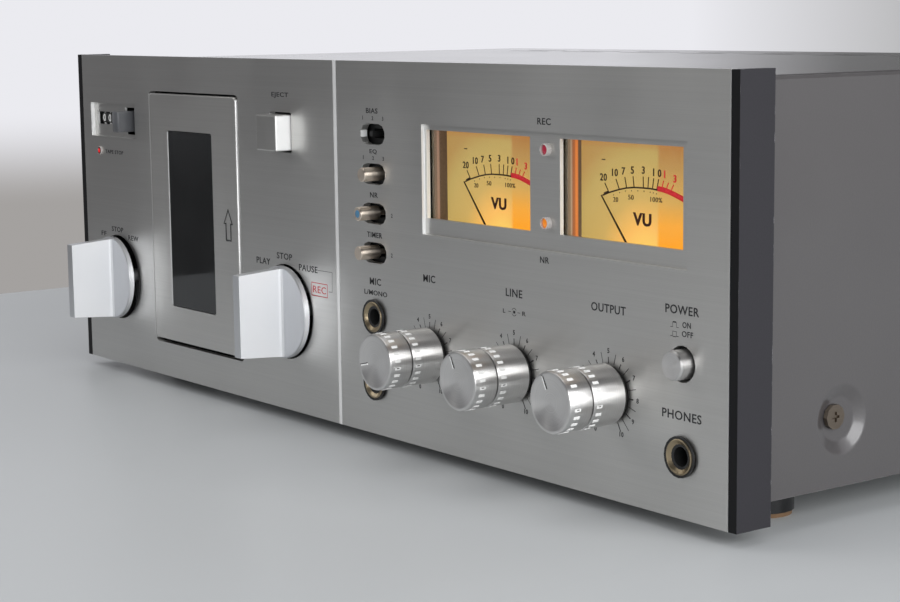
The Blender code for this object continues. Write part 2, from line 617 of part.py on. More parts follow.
def rod(name, axis, at, radius, span, sides=ROUND_SIDES, end_radius=None):
    """Cylinder, or a cone from radius to end_radius, along an axis."""
    bm = bmesh.new()
    bmesh.ops.create_cone(bm, cap_ends=True, segments=sides, radius1=radius,
                          radius2=radius if end_radius is None else end_radius, depth=span[1] - span[0])
    bm.transform(ALONG[axis].to_4x4())
    bmesh.ops.translate(bm, vec=point_at(axis, at, middle(span)), verts=bm.verts)
    return new_object(name, bm)


def turned(name, axis, at, profile, sides=ROUND_SIDES, hollow=False):
    """Profile of (radius, distance) points, run down its outer side, turned about an axis."""
    bm = bmesh.new()
    corners = [bm.verts.new((radius, 0.0, along)) for radius, along in profile]
    for start, end in zip(corners, corners[1:]):
        bm.edges.new((start, end))
    if hollow:
        bm.edges.new((corners[-1], corners[0]))
    obj = new_object(name, bm)
    screw = obj.modifiers.new("Turned", "SCREW")
    screw.axis = "Z"
    screw.angle = math.tau
    screw.steps = sides
    screw.render_steps = sides
    screw.use_merge_vertices = True
    screw.merge_threshold = MERGE
    apply_modifiers(obj)
    obj.data.transform(Matrix.Translation(point_at(axis, at, 0.0)) @ ALONG[axis].to_4x4())
    return obj


def plate(name, axis, span, outline, holes=()):
    """Flat outline with holes, facing an axis."""
    curve = bpy.data.curves.new(name, "CURVE")
    curve.dimensions = "2D"
    curve.fill_mode = "BOTH"
    curve.extrude = (span[1] - span[0]) / 2
    spline = curve.splines.new("POLY")
    spline.points.add(len(outline) - 1)
    for point, (across, up) in zip(spline.points, outline):
        point.co = (across, up, 0.0, 1.0)
    spline.use_cyclic_u = True
    guide = bpy.data.objects.new(name, curve)
    SHAPING.objects.link(guide)
    bpy.context.view_layer.update()
    flat = bpy.data.meshes.new_from_object(guide.evaluated_get(bpy.context.evaluated_depsgraph_get()))
    bm = bmesh.new()
    bm.from_mesh(flat)
    bmesh.ops.remove_doubles(bm, verts=bm.verts, dist=MERGE)
    bm.transform(guide.matrix_world)
    bm.transform(FACING[axis].to_4x4())
    bmesh.ops.translate(bm, vec=point_at(axis, (0.0, 0.0), middle(span)), verts=bm.verts)
    bmesh.ops.dissolve_limit(bm, angle_limit=FLAT_ANGLE, verts=bm.verts, edges=bm.edges)
    bpy.data.objects.remove(guide, do_unlink=True)
    bpy.data.curves.remove(curve)
    bpy.data.meshes.remove(flat)
    return pierce(new_object(name, bm), axis, span, holes)


def pierce(obj, axis, span, holes):
    """Cuts holes of the given outlines through a plate."""
    if not holes:
        return obj
    return cut(obj, *[plate("hole", axis, grown(span, CUT_OVERRUN), ring) for ring in holes])


def arc(centre, radius, start, end, steps):
    turns = [math.radians(start + (end - start) * i / steps) for i in range(steps + 1)]
    return [(centre[0] + radius * math.cos(turn), centre[1] + radius * math.sin(turn)) for turn in turns]


def circle(centre, radius, sides=ROUND_SIDES):
    return arc(centre, radius, 0.0, 360.0, sides)[:-1]


def rectangle(across, up):
    return [(across[0], up[0]), (across[1], up[0]), (across[1], up[1]), (across[0], up[1])]


def rounded(across, up, radius):
    """Rectangle with round corners."""
    x = grown(across, -radius)
    z = grown(up, -radius)
    return (arc((x[1], z[0]), radius, -90.0, 0.0, CORNER_STEPS)
            + arc((x[1], z[1]), radius, 0.0, 90.0, CORNER_STEPS)
            + arc((x[0], z[1]), radius, 90.0, 180.0, CORNER_STEPS)
            + arc((x[0], z[0]), radius, 180.0, 270.0, CORNER_STEPS))


def stadium(across, height, radius):
    """Slot with round ends between two places across, at one height."""
    half = SMALL_SIDES // 2
    return (arc((across[1] - radius, height), radius, -90.0, 90.0, half)
            + arc((across[0] + radius, height), radius, 90.0, 270.0, half))


def finish(obj, look, pivot=(0.0, 0.0, 0.0), turn=0.0):
    """Puts a finished piece on its own origin, under the deck's frame, with its material."""
    obj.data.transform(Matrix.Translation(-Vector(pivot)))
    obj.location = pivot
    obj.rotation_euler = (0.0, turn, 0.0)
    obj.parent = FRAME
    SHAPING.objects.unlink(obj)
    PART.objects.link(obj)
    colour, roughness, metallic = look
    material = bpy.data.materials.new(obj.name + "_finish")
    material.use_nodes = True
    shader = material.node_tree.nodes["Principled BSDF"]
    shader.inputs["Base Color"].default_value = (*colour, 1.0)
    shader.inputs["Roughness"].default_value = roughness
    shader.inputs["Metallic"].default_value = metallic
    obj.data.materials.clear()
    obj.data.materials.append(material)
    obj.data.shade_smooth()
    obj.data.set_sharp_from_angle(angle=SHARP_ANGLE)
    return obj


def counter_recess_spans():
    return around(COUNTER_RECESS_X, COUNTER_RECESS_WIDTH), around(COUNTER_Z, COUNTER_RECESS_HEIGHT)


def front_panel_left():
    door_x = grown((DOOR_LEFT, DOOR_RIGHT), DOOR_SIDE_GAP)
    door_z = (DOOR_RISE - DOOR_BOTTOM_GAP, DOOR_TOP + DOOR_TOP_GAP)
    eject_x = grown(around(EJECT_X, EJECT_WIDTH), BUTTON_HOLE_GAP)
    eject_z = grown((EJECT_RISE, EJECT_RISE + EJECT_HEIGHT), BUTTON_HOLE_GAP)
    holes = [rounded(door_x, door_z, DOOR_CORNER + DOOR_PROUD),
             circle((WINDING_LEVER_X, LEVER_RISE), LEVER_HOLE_RADIUS, FINE_SIDES),
             circle((PLAY_LEVER_X, LEVER_RISE), LEVER_HOLE_RADIUS, FINE_SIDES),
             rounded(eject_x, eject_z, BUTTON_HOLE_GAP),
             rectangle(around(COUNTER_WINDOW_X, COUNTER_WINDOW_WIDTH),
                       around(COUNTER_AXLE_Z, COUNTER_WINDOW_HEIGHT)),
             rectangle(around(RESET_X, RESET_HOLE_WIDTH), around(COUNTER_Z, RESET_HOLE_HEIGHT)),
             circle((LAMP_X, LAMP_Z), LAMP_RADIUS + FIT_GAP, SMALL_SIDES)]
    across = (-PANEL_WIDTH / 2 + END_BAR_WIDTH + FIT_GAP, -SEAM_OFFSET - SEAM_WIDTH / 2 - FIT_GAP)
    panel = plate("front_panel_left", "Y", PANEL_Y, rectangle(across, PANEL_Z), holes)
    recess_x, recess_z = counter_recess_spans()
    cut(panel, box("recess", recess_x, (-CUT_OVERRUN, COUNTER_RECESS_DEPTH), recess_z))
    return finish(panel, BRUSHED_PANEL)


def selector_z(index):
    return SELECTOR_TOP_Z - index * SELECTOR_PITCH


def knob_x(index):
    return KNOB_MIDDLE_X + (index - 1) * KNOB_PITCH


def front_panel_right():
    slot_x = around(SELECTOR_X, 2 * SELECTOR_SLOT_HALF)
    holes = [stadium(slot_x, selector_z(i), SELECTOR_SLOT_RADIUS) for i in range(len(SELECTOR_NAMES))]
    window_z = (METER_WINDOW_RISE, METER_WINDOW_TOP)
    holes += [rectangle(around(x, METER_WINDOW_WIDTH), window_z) for x in METER_CENTRES]
    holes += [circle(at, LAMP_RADIUS + FIT_GAP, SMALL_SIDES) for at in METER_LAMPS]
    holes += [circle((knob_x(i), KNOB_RISE), BUSH_RADIUS + FIT_GAP, SMALL_SIDES)
              for i in range(len(KNOB_NAMES))]
    holes += [circle(at, JACK_BARREL_RADIUS + FIT_GAP) for at in (*MIC_JACKS, (PHONES_X, PHONES_Z))]
    holes.append(circle((POWER_X, POWER_Z), POWER_BUTTON_RADIUS + POWER_HOLE_GAP))
    across = (-SEAM_OFFSET + SEAM_WIDTH / 2 + FIT_GAP, PANEL_WIDTH / 2 - END_BAR_WIDTH - FIT_GAP)
    panel = plate("front_panel_right", "Y", PANEL_Y, rectangle(across, PANEL_Z), holes)
    recess_z = (METER_RECESS_RISE, METER_RECESS_RISE + METER_RECESS_HEIGHT)
    cut(panel, box("recess", around(METER_RECESS_X, METER_RECESS_WIDTH),
                   (-CUT_OVERRUN, METER_RECESS_DEPTH), recess_z))
    return finish(panel, BRUSHED_PANEL)


def seam_strip():
    strip = box("panel_seam_strip", around(-SEAM_OFFSET, SEAM_WIDTH), PANEL_Y, PANEL_Z)
    return finish(strip, POLISHED)


def end_cap(name, side):
    outer = side * PANEL_WIDTH / 2
    inner = side * (PANEL_WIDTH / 2 - END_BAR_WIDTH)
    cap = box(name, (min(outer, inner), max(outer, inner)), (0.0, END_BAR_DEPTH), PANEL_Z)
    return finish(cap, BLACK_PLASTIC)


def cover_dimples(cover):
    half = PANEL_WIDTH / 2 - COVER_INSET
    at = DIMPLE_AT
    floor = half - DIMPLE_DEPTH
    slope = (DIMPLE_RADIUS - DIMPLE_FLOOR_RADIUS) / DIMPLE_DEPTH
    for side in (-1, 1):
        ends = sorted((side * (floor - SHEET), side * (half - SHEET / 2)))
        radii = (DIMPLE_FLOOR_RADIUS + SHEET, DIMPLE_RADIUS + SHEET)
        boss = rod("boss", "X", at, radii[::side][0], ends, FINE_SIDES, radii[::side][1])
        ends = sorted((side * floor, side * (half + CUT_OVERRUN)))
        radii = (DIMPLE_FLOOR_RADIUS, DIMPLE_RADIUS + slope * CUT_OVERRUN)
        dish = rod("dish", "X", at, radii[::side][0], ends, FINE_SIDES, radii[::side][1])
        ends = sorted((side * (floor - SHEET - CUT_OVERRUN), side * half))
        hole = rod("hole", "X", COVER_SCREW_AT, SCREW_RADIUS + 2 * FIT_GAP, ends, SMALL_SIDES)
        join(cover, boss)
        cut(cover, dish, hole)


def top_cover():
    half = PANEL_WIDTH / 2 - COVER_INSET
    top = PANEL_HEIGHT - COVER_DROP
    outer = [(half, COVER_RISE)]
    outer += arc((half - COVER_CORNER, top - COVER_CORNER), COVER_CORNER, 0.0, 90.0, 2)
    outer += arc((COVER_CORNER - half, top - COVER_CORNER), COVER_CORNER, 90.0, 180.0, 2)
    outer += [(-half, COVER_RISE), (SHEET - half, COVER_RISE), (SHEET - half, top - SHEET),
              (half - SHEET, top - SHEET), (half - SHEET, COVER_RISE)]
    cover_y = (PANEL_BACK_SEAT, BODY_DEPTH)
    cover = plate("top_cover", "Y", cover_y, outer)
    slots = []
    for row in range(VENT_ROWS):
        y = BODY_DEPTH - VENT_REAR_INSET - row * VENT_PITCH_Y
        for column in range(VENT_COLUMNS):
            x = (column - (VENT_COLUMNS - 1) / 2) * VENT_PITCH_X
            slots.append(rectangle(around(x, VENT_LENGTH), around(y, VENT_WIDTH)))
    pierce(cover, "Z", (top - SHEET, top), slots)
    cover_dimples(cover)
    return finish(cover, COVER_PAINT)


def cover_screw(name, side):
    floor = PANEL_WIDTH / 2 - COVER_INSET - DIMPLE_DEPTH
    base = floor + FIT_GAP
    at = COVER_SCREW_AT
    profile = [(0.0, base + SCREW_HEAD_THICK), (SCREW_HEAD_RADIUS, base + SCREW_HEAD_THICK),
               (SCREW_HEAD_RADIUS, base), (SCREW_RADIUS, base), (SCREW_RADIUS, base - SCREW_LENGTH),
               (0.0, base - SCREW_LENGTH)]
    if side < 0:
        profile = [(radius, -along) for radius, along in reversed(profile)]
    screw = turned(name, "X", at, profile, SMALL_SIDES)
    face = base + SCREW_HEAD_THICK
    depth = sorted((side * (face - SCREW_SLOT_DEPTH), side * (face + CUT_OVERRUN)))
    slot = box("slot", depth, around(at[0], 2 * SCREW_RADIUS), around(at[1], SCREW_SLOT_WIDTH))
    cross = box("cross", depth, around(at[0], SCREW_SLOT_WIDTH), around(at[1], 2 * SCREW_RADIUS))
    cut(screw, slot, cross)
    return finish(screw, ZINC)


def chassis_tray():
    half = TRAY_HALF
    flange_top = TRAY_RISE + TRAY_FLANGE
    outline = [(-half, TRAY_RISE), (half, TRAY_RISE), (half, flange_top), (half - SHEET, flange_top),
               (half - SHEET, TRAY_TOP), (SHEET - half, TRAY_TOP), (SHEET - half, flange_top),
               (-half, flange_top)]
    tray = plate("chassis_tray", "Y", (PANEL_BACK_SEAT, REAR_PANEL_Y[0] - FIT_GAP), outline)
    lip_y = PANEL_BACK_SEAT + TRAY_LIP_INSET
    lip = box("lip", grown((-half, half), -SHEET / 2), (lip_y, lip_y + SHEET),
              (TRAY_TOP - TRAY_LIP, TRAY_RISE + TRAY_THICK / 2))
    join(tray, lip)
    for side in (-1, 1):
        ends = sorted((side * (half - SHEET - CUT_OVERRUN), side * (half + CUT_OVERRUN)))
        cut(tray, rod("hole", "X", COVER_SCREW_AT, SCREW_RADIUS + FIT_GAP, ends, SMALL_SIDES))
    return finish(tray, ZINC)


def rear_panel():
    half = PANEL_WIDTH / 2 - COVER_INSET - SHEET - FIT_GAP
    top = PANEL_HEIGHT - COVER_DROP - SHEET - FIT_GAP
    inner_x, inner_z = socket_block_inner()
    holes = [rectangle(grown(inner_x, FIT_GAP), grown(inner_z, FIT_GAP)),
             circle((INLET_X, INLET_Z), INLET_BORE_RADIUS + INLET_NECK_WALL + FIT_GAP)]
    panel = plate("rear_panel", "Y", REAR_PANEL_Y, rectangle((-half, half), (REAR_RISE, top)), holes)
    return finish(panel, ZINC)


def foot(name, side, y):
    top = TRAY_RISE - FIT_GAP
    sole = -PANEL_LIFT
    pad_top = sole + FOOT_PAD_THICK
    profile = [(0.0, top), (FOOT_RADIUS, top), (FOOT_RADIUS, pad_top), (FOOT_PAD_RADIUS, pad_top),
               (FOOT_PAD_RADIUS, sole), (0.0, sole)]
    pad = turned(name, "Z", (side * (PANEL_WIDTH / 2 - FOOT_SIDE_INSET), y), profile)
    return finish(pad, RUBBER)


def cassette_door():
    across = (DOOR_LEFT, DOOR_RIGHT)
    up = (DOOR_RISE, DOOR_TOP)
    door = plate("cassette_door", "Y", (-DOOR_PROUD, DOOR_BACK), rounded(across, up, DOOR_CORNER))
    round_edges(door, DOOR_ROUND)
    opening = rounded(around(HUB_X, WINDOW_WIDTH), around(HUB_MIDDLE, WINDOW_HEIGHT), WINDOW_CORNER)
    cut(door, plate("opening", "Y", grown((-DOOR_PROUD, DOOR_BACK), CUT_OVERRUN), opening))
    return finish(door, BRUSHED_PANEL, (DOOR_X, PIVOT_Y, PIVOT_Z))


def window_pane_spans():
    return (around(HUB_X, WINDOW_WIDTH + 2 * WINDOW_LAP), around(HUB_MIDDLE, WINDOW_HEIGHT + 2 * WINDOW_LAP))


def door_window():
    across, up = window_pane_spans()
    pane = box("door_window", across, (HOLDER_FRONT_Y, HOLDER_FRONT_Y + WINDOW_SHEET), up)
    return finish(pane, SMOKED, (DOOR_X, PIVOT_Y, PIVOT_Z))


def holder_channel(name, side, wall_face, strip_end):
    """Upright side wall with a strip across its front and a lip across its back."""
    wall = wall_face - side * HOLDER_WALL
    lip = wall - side * HOLDER_LIP
    strip_back = HOLDER_FRONT_Y + HOLDER_STRIP
    lip_front = HOLDER_BACK_Y - HOLDER_STRIP
    outline = [(wall_face, HOLDER_FRONT_Y), (strip_end, HOLDER_FRONT_Y), (strip_end, strip_back),
               (wall, strip_back), (wall, lip_front), (lip, lip_front), (lip, HOLDER_BACK_Y),
               (wall_face, HOLDER_BACK_Y)]
    return plate(name, "Z", (HOLDER_BOTTOM, HOLDER_TOP), outline)


def cassette_holder():
    pane_x, _ = window_pane_spans()
    shelf_x = grown((HOLDER_LEFT, HOLDER_RIGHT), -HOLDER_WALL / 2)
    shelf_z = (HOLDER_BOTTOM + HOLDER_SHELF_INSET, HOLDER_BOTTOM + HOLDER_SHELF)
    holder = holder_channel("cassette_holder", -1, HOLDER_LEFT, pane_x[0] - FIT_GAP)
    join(holder,
         holder_channel("channel", 1, HOLDER_RIGHT, pane_x[1] + FIT_GAP),
         box("shelf", shelf_x, grown((HOLDER_FRONT_Y, HOLDER_BACK_Y), -HOLDER_SHELF_INSET), shelf_z))
    gate_x = grown((HOLDER_RIGHT - HOLDER_WALL - HOLDER_LIP, HOLDER_RIGHT), CUT_OVERRUN)
    gate_y = (HOLDER_FRONT_Y + HOLDER_STRIP + FIT_GAP, HOLDER_BACK_Y + CUT_OVERRUN)
    cut(holder, box("gate", gate_x, gate_y, (BRIDGE_BOTTOM, BRIDGE_TOP)))
    pivot = (PIVOT_Y, PIVOT_Z)
    join(holder,
         rod("pin", "X", pivot, PIVOT_RADIUS, (HOLDER_LEFT - PIVOT_REACH, shelf_x[0]), SMALL_SIDES),
         rod("pin", "X", pivot, PIVOT_RADIUS, (shelf_x[1], HOLDER_RIGHT + PIVOT_REACH), SMALL_SIDES))
    return finish(holder, BLACK_PLASTIC, (DOOR_X, PIVOT_Y, PIVOT_Z))


def pivot_lug(outer_end, side):
    """Fork with an open slot that one of the holder's pins lies in."""
    inner = outer_end - side * LUG_THICK
    span = (min(inner, outer_end), max(inner, outer_end))
    lug = box("lug", span, (PANEL_BACK_SEAT, PLATE_Y + PLATE_THICK / 2), around(PIVOT_Z, LUG_HEIGHT))
    room = PIVOT_RADIUS + FIT_GAP
    through = grown(span, CUT_OVERRUN)
    cut(lug, rod("seat", "X", (PIVOT_Y, PIVOT_Z), room, through, SMALL_SIDES),
        box("mouth", through, (PANEL_BACK_SEAT - CUT_OVERRUN, PIVOT_Y), around(PIVOT_Z, 2 * room)))
    return lug


def motor_posts():
    """Posts that carry the motor, turned away from the belt."""
    belt_turn = math.atan2(CAPSTAN_AT[1] - MOTOR_AT[1], CAPSTAN_AT[0] - MOTOR_AT[0])
    reach = MOTOR_RADIUS - MOTOR_POST_RADIUS
    posts = []
    for i in range(MOTOR_POST_COUNT):
        turn = belt_turn + math.pi + (i - 1) * MOTOR_POST_TURN
        at = (MOTOR_AT[0] + reach * math.cos(turn), MOTOR_AT[1] + reach * math.sin(turn))
        span = (PLATE_Y + PLATE_THICK / 2, MOTOR_FRONT_Y - FIT_GAP)
        posts.append(rod("post", "Y", at, MOTOR_POST_RADIUS, span, SMALL_SIDES))
    return posts


def mechanism_plate():
    wing_left = PANEL_WIDTH * ACROSS_SHARES["plate_left_end"]
    left = DOOR_LEFT - PLATE_PAST_DOOR
    right = PANEL_WIDTH * ACROSS_SHARES["plate_right_end"]
    top = PANEL_HEIGHT - PLATE_TOP_DROP
    wing_top = PANEL_HEIGHT * UP_SHARES["plate_wing_top"]
    outline = [(wing_left, FLOOR_SEAT), (right, FLOOR_SEAT), (right, top), (left, top),
               (left, wing_top), (wing_left, wing_top)]
    eject_z = EJECT_RISE + EJECT_HEIGHT / 2
    holes = [circle(at, SPINDLE_SHAFT_RADIUS + FIT_GAP, SMALL_SIDES) for at in (SUPPLY_AT, TAKEUP_AT)]
    holes.append(circle(CAPSTAN_AT, CAPSTAN_RADIUS + FIT_GAP, SMALL_SIDES))
    holes += [circle((x, LEVER_RISE), LEVER_SHAFT_RADIUS + FIT_GAP, SMALL_SIDES)
              for x in (WINDING_LEVER_X, PLAY_LEVER_X)]
    holes.append(rectangle(grown(around(EJECT_X, EJECT_STEM), FIT_GAP),
                           grown(around(eject_z, EJECT_STEM), FIT_GAP)))
    panel = plate("mechanism_plate", "Y", (PLATE_Y, PLATE_BACK_Y), outline, holes)
    cap_front = BRIDGE_Y[0] - FIT_GAP - STUD_CAP_THICK
    studs = []
    for z in STUD_ENDS:
        profile = [(0.0, PLATE_Y + PLATE_THICK / 2), (STUD_RADIUS, PLATE_Y + PLATE_THICK / 2),
                   (STUD_RADIUS, BRIDGE_Y[0] - FIT_GAP), (STUD_CAP_RADIUS, BRIDGE_Y[0] - FIT_GAP),
                   (STUD_CAP_RADIUS, cap_front), (0.0, cap_front)]
        studs.append(turned("stud", "Y", (STUD_X, z), profile, SMALL_SIDES))
    pin_end = PIVOT_REACH + FIT_GAP
    lugs = [pivot_lug(HOLDER_LEFT - pin_end, -1), pivot_lug(HOLDER_RIGHT + pin_end, 1)]
    join(panel, *studs, *lugs, *motor_posts())
    return finish(panel, ZINC)


def drive_motor():
    front = MOTOR_FRONT_Y
    motor = rod("drive_motor", "Y", MOTOR_AT, MOTOR_RADIUS, (front, front + MOTOR_LENGTH))
    room = MOTOR_SHAFT_RADIUS + FIT_GAP
    depth = (front - CUT_OVERRUN, front + MOTOR_SHAFT_DEPTH + FIT_GAP)
    cut(motor, rod("bore", "Y", MOTOR_AT, room, depth, SMALL_SIDES))
    return finish(motor, DARK_STEEL)


def belt_y():
    return around(FLYWHEEL_Y + FLYWHEEL_THICK / 2, BELT_WIDTH)


def belt_loop(margin):
    """Outline round both wheels, a margin outside them, with straight runs between."""
    across = CAPSTAN_AT[0] - MOTOR_AT[0]
    up = CAPSTAN_AT[1] - MOTOR_AT[1]
    heading = math.degrees(math.atan2(up, across))
    lean = math.degrees(math.acos((FLYWHEEL_RADIUS - MOTOR_PULLEY_RADIUS) / math.hypot(across, up)))
    wrap = HALF_TURN - lean
    big = arc(CAPSTAN_AT, FLYWHEEL_RADIUS + margin, heading - wrap, heading + wrap,
              FINE_SIDES - SMALL_SIDES)
    small = arc(MOTOR_AT, MOTOR_PULLEY_RADIUS + margin, heading + wrap, heading + HALF_TURN + lean,
                SMALL_SIDES // 2)
    return big + small


def drive_belt():
    belt = plate("drive_belt", "Y", belt_y(), belt_loop(FIT_GAP + BELT_THICK), [belt_loop(FIT_GAP)])
    return finish(belt, RUBBER)


def spindle(name, at):
    table_back = PLATE_Y - FIT_GAP - FIT_GAP
    table_front = table_back - REEL_TABLE_THICK
    pulley_front = PLATE_BACK_Y + REEL_PULLEY_GAP
    pulley_back = pulley_front + REEL_PULLEY_THICK
    nose = SPINDLE_TIP_Y + SPINDLE_NOSE
    profile = [(0.0, pulley_back), (REEL_PULLEY_RADIUS, pulley_back), (REEL_PULLEY_RADIUS, pulley_front),
               (SPINDLE_SHAFT_RADIUS, pulley_front), (SPINDLE_SHAFT_RADIUS, table_back),
               (REEL_TABLE_RADIUS, table_back), (REEL_TABLE_RADIUS, table_front),
               (SPINDLE_RADIUS, table_front), (SPINDLE_RADIUS, nose),
               (SPINDLE_RADIUS - SPINDLE_NOSE, SPINDLE_TIP_Y), (0.0, SPINDLE_TIP_Y)]
    hub = turned(name, "Y", at, profile)
    fins = []
    for i in range(3):
        fin = box("fin", around(0.0, SPINDLE_FIN_THICK), (nose, table_front + REEL_TABLE_THICK / 2),
                  (0.0, SPINDLE_FIN_REACH))
        fin.data.transform(Matrix.Rotation(i * math.tau / 3, 4, "Y"))
        fin.data.transform(Matrix.Translation((at[0], 0.0, at[1])))
        fins.append(fin)
    join(hub, *fins)
    return finish(hub, BLACK_PLASTIC, (at[0], PLATE_Y, at[1]))


def capstan_flywheel():
    back = FLYWHEEL_Y + FLYWHEEL_THICK
    end = back + CAPSTAN_END
    profile = [(0.0, end), (CAPSTAN_RADIUS, end), (CAPSTAN_RADIUS, back), (FLYWHEEL_RADIUS, back),
               (FLYWHEEL_RADIUS, FLYWHEEL_Y), (CAPSTAN_RADIUS, FLYWHEEL_Y),
               (CAPSTAN_RADIUS, SPINDLE_TIP_Y), (0.0, SPINDLE_TIP_Y)]
    wheel = turned("capstan_flywheel", "Y", CAPSTAN_AT, profile, FINE_SIDES)
    return finish(wheel, POLISHED, (CAPSTAN_AT[0], PLATE_Y, CAPSTAN_AT[1]))


def motor_pulley():
    front, back = belt_y()
    end = MOTOR_FRONT_Y + MOTOR_SHAFT_DEPTH
    profile = [(0.0, end), (MOTOR_SHAFT_RADIUS, end), (MOTOR_SHAFT_RADIUS, back),
               (MOTOR_PULLEY_RADIUS, back), (MOTOR_PULLEY_RADIUS, front), (0.0, front)]
    pulley = turned("motor_pulley", "Y", MOTOR_AT, profile)
    return finish(pulley, BRASS, (MOTOR_AT[0], front, MOTOR_AT[1]))


def head_bridge():
    across = (BRIDGE_LEFT, BRIDGE_LEFT + BRIDGE_WIDTH)
    room = STUD_RADIUS + FIT_GAP
    slot_x = (STUD_X - room, STUD_X + BRIDGE_TRAVEL + room)
    slots = [stadium(slot_x, z, room) for z in STUD_ENDS]
    notch = CAPSTAN_RADIUS + 2 * FIT_GAP
    slots.append(rectangle((BRIDGE_LEFT - CUT_OVERRUN, CAPSTAN_AT[0] + BRIDGE_TRAVEL + notch),
                           around(CAPSTAN_AT[1], 2 * notch)))
    bridge = plate("head_bridge", "Y", BRIDGE_Y, rectangle(across, (BRIDGE_BOTTOM, BRIDGE_TOP)), slots)
    cap_back = PINCH_FRONT_Y - FIT_GAP
    pin_back = BRIDGE_Y[0] + BRIDGE_THICK / 2
    cap_front = cap_back - PINCH_CAP_THICK
    profile = [(0.0, pin_back), (PINCH_PIN_RADIUS, pin_back), (PINCH_PIN_RADIUS, cap_back),
               (PINCH_CAP_RADIUS, cap_back), (PINCH_CAP_RADIUS, cap_front), (0.0, cap_front)]
    join(bridge, turned("pin", "Y", PINCH_AT, profile, SMALL_SIDES))
    return finish(bridge, ZINC, (BRIDGE_LEFT, PLATE_Y, BRIDGE_MIDDLE))


def tape_head(name, length, height, centre_z):
    """Block with a crowned face towards the tape."""
    left = BRIDGE_LEFT + HEAD_SETBACK
    right = left + length
    half = height / 2
    bow = (HEAD_CROWN ** 2 + half ** 2) / (2 * HEAD_CROWN)
    swing = math.degrees(math.asin(half / bow))
    outline = arc((left + bow, centre_z), bow, HALF_TURN - swing, HALF_TURN + swing, 2 * CORNER_STEPS)
    outline += [(right, centre_z - half), (right, centre_z + half)]
    head = plate(name, "Y", (HEAD_FRONT_Y, BRIDGE_Y[0] - FIT_GAP), outline)
    return finish(head, POLISHED, (left, PLATE_Y, centre_z))


def pinch_roller():
    back = BRIDGE_Y[0] - FIT_GAP
    bore = PINCH_PIN_RADIUS + FIT_GAP
    profile = [(PINCH_RADIUS, back), (PINCH_RADIUS, PINCH_FRONT_Y), (bore, PINCH_FRONT_Y), (bore, back)]
    roller = turned("pinch_roller", "Y", PINCH_AT, profile, ROUND_SIDES, hollow=True)
    return finish(roller, RUBBER, (PINCH_AT[0], PLATE_Y, PINCH_AT[1]))


def lever_bar(x, disc_front):
    """Flat bar that tapers to its tip, with fillets where it meets the disc."""
    tip = disc_front - LEVER_BAR_REACH
    half = LEVER_BAR_WIDTH / 2
    foot_y = disc_front + LEVER_DISC_THICK / 2
    flare = half + LEVER_FILLET
    outline = [(x + flare, foot_y), (x + flare, disc_front)]
    right = arc((x + flare, disc_front - LEVER_FILLET), LEVER_FILLET, 90.0, 180.0, CORNER_STEPS)
    left = arc((x - flare, disc_front - LEVER_FILLET), LEVER_FILLET, 0.0, 90.0, CORNER_STEPS)
    outline += right[1:] + [(x + half, tip), (x - half, tip)] + left[:-1]
    outline += [(x - flare, disc_front), (x - flare, foot_y)]
    root = LEVER_BAR_ROOT_HEIGHT / 2
    bar = plate("bar", "Z", (LEVER_RISE - root, LEVER_RISE + root), outline)
    end = LEVER_BAR_TIP_HEIGHT / 2
    taper = [(tip, LEVER_RISE - end), (foot_y, LEVER_RISE - root), (foot_y, LEVER_RISE + root),
             (tip, LEVER_RISE + end)]
    keep = plate("taper", "X", (x - 2 * flare, x + 2 * flare), taper)
    combine(bar, "INTERSECT", [keep])
    return bar


def lever(name, x, disc_back):
    front = -disc_back - LEVER_DISC_THICK
    end = PLATE_BACK_Y + LEVER_SHAFT_PAST_PLATE
    profile = [(0.0, end), (LEVER_SHAFT_RADIUS, end), (LEVER_SHAFT_RADIUS, -disc_back),
               (LEVER_DISC_RADIUS, -disc_back), (LEVER_DISC_RADIUS, front + LEVER_EDGE),
               (LEVER_DISC_RADIUS - LEVER_EDGE, front), (0.0, front)]
    body = turned(name, "Y", (x, LEVER_RISE), profile, FINE_SIDES)
    join(body, lever_bar(x, front))
    return finish(body, POLISHED, (x, 0.0, LEVER_RISE))


def push_button(name, x, z, reach, back, edge, stem):
    """Square-cornered button with a square stem behind; stem is (width, height, end)."""
    button = box(name, x, (-reach, back), z)
    round_edges(button, edge)
    width, height, end = stem
    rear = box("stem", around(middle(x), width), (back - edge * 2, end), around(middle(z), height))
    return join(button, rear)


def eject_button():
    across = around(EJECT_X, EJECT_WIDTH)
    up = (EJECT_RISE, EJECT_RISE + EJECT_HEIGHT)
    stem = (EJECT_STEM, EJECT_STEM, PLATE_BACK_Y + EJECT_STEM_PAST_PLATE)
    button = push_button("eject_button", across, up, EJECT_REACH, EJECT_BACK_Y, EJECT_EDGE, stem)
    return finish(button, POLISHED, (EJECT_X, 0.0, middle(up)))


def counter_wheel_x(index):
    pitch = COUNTER_WHEEL_WIDTH + COUNTER_WHEEL_GAP
    return COUNTER_WINDOW_X + (index - 1) * pitch


def counter_sides():
    """Inner faces of the counter's end plates."""
    reach = 1.5 * COUNTER_WHEEL_WIDTH + COUNTER_WHEEL_GAP + COUNTER_SIDE_ROOM
    return (COUNTER_WINDOW_X - reach, COUNTER_WINDOW_X + reach)


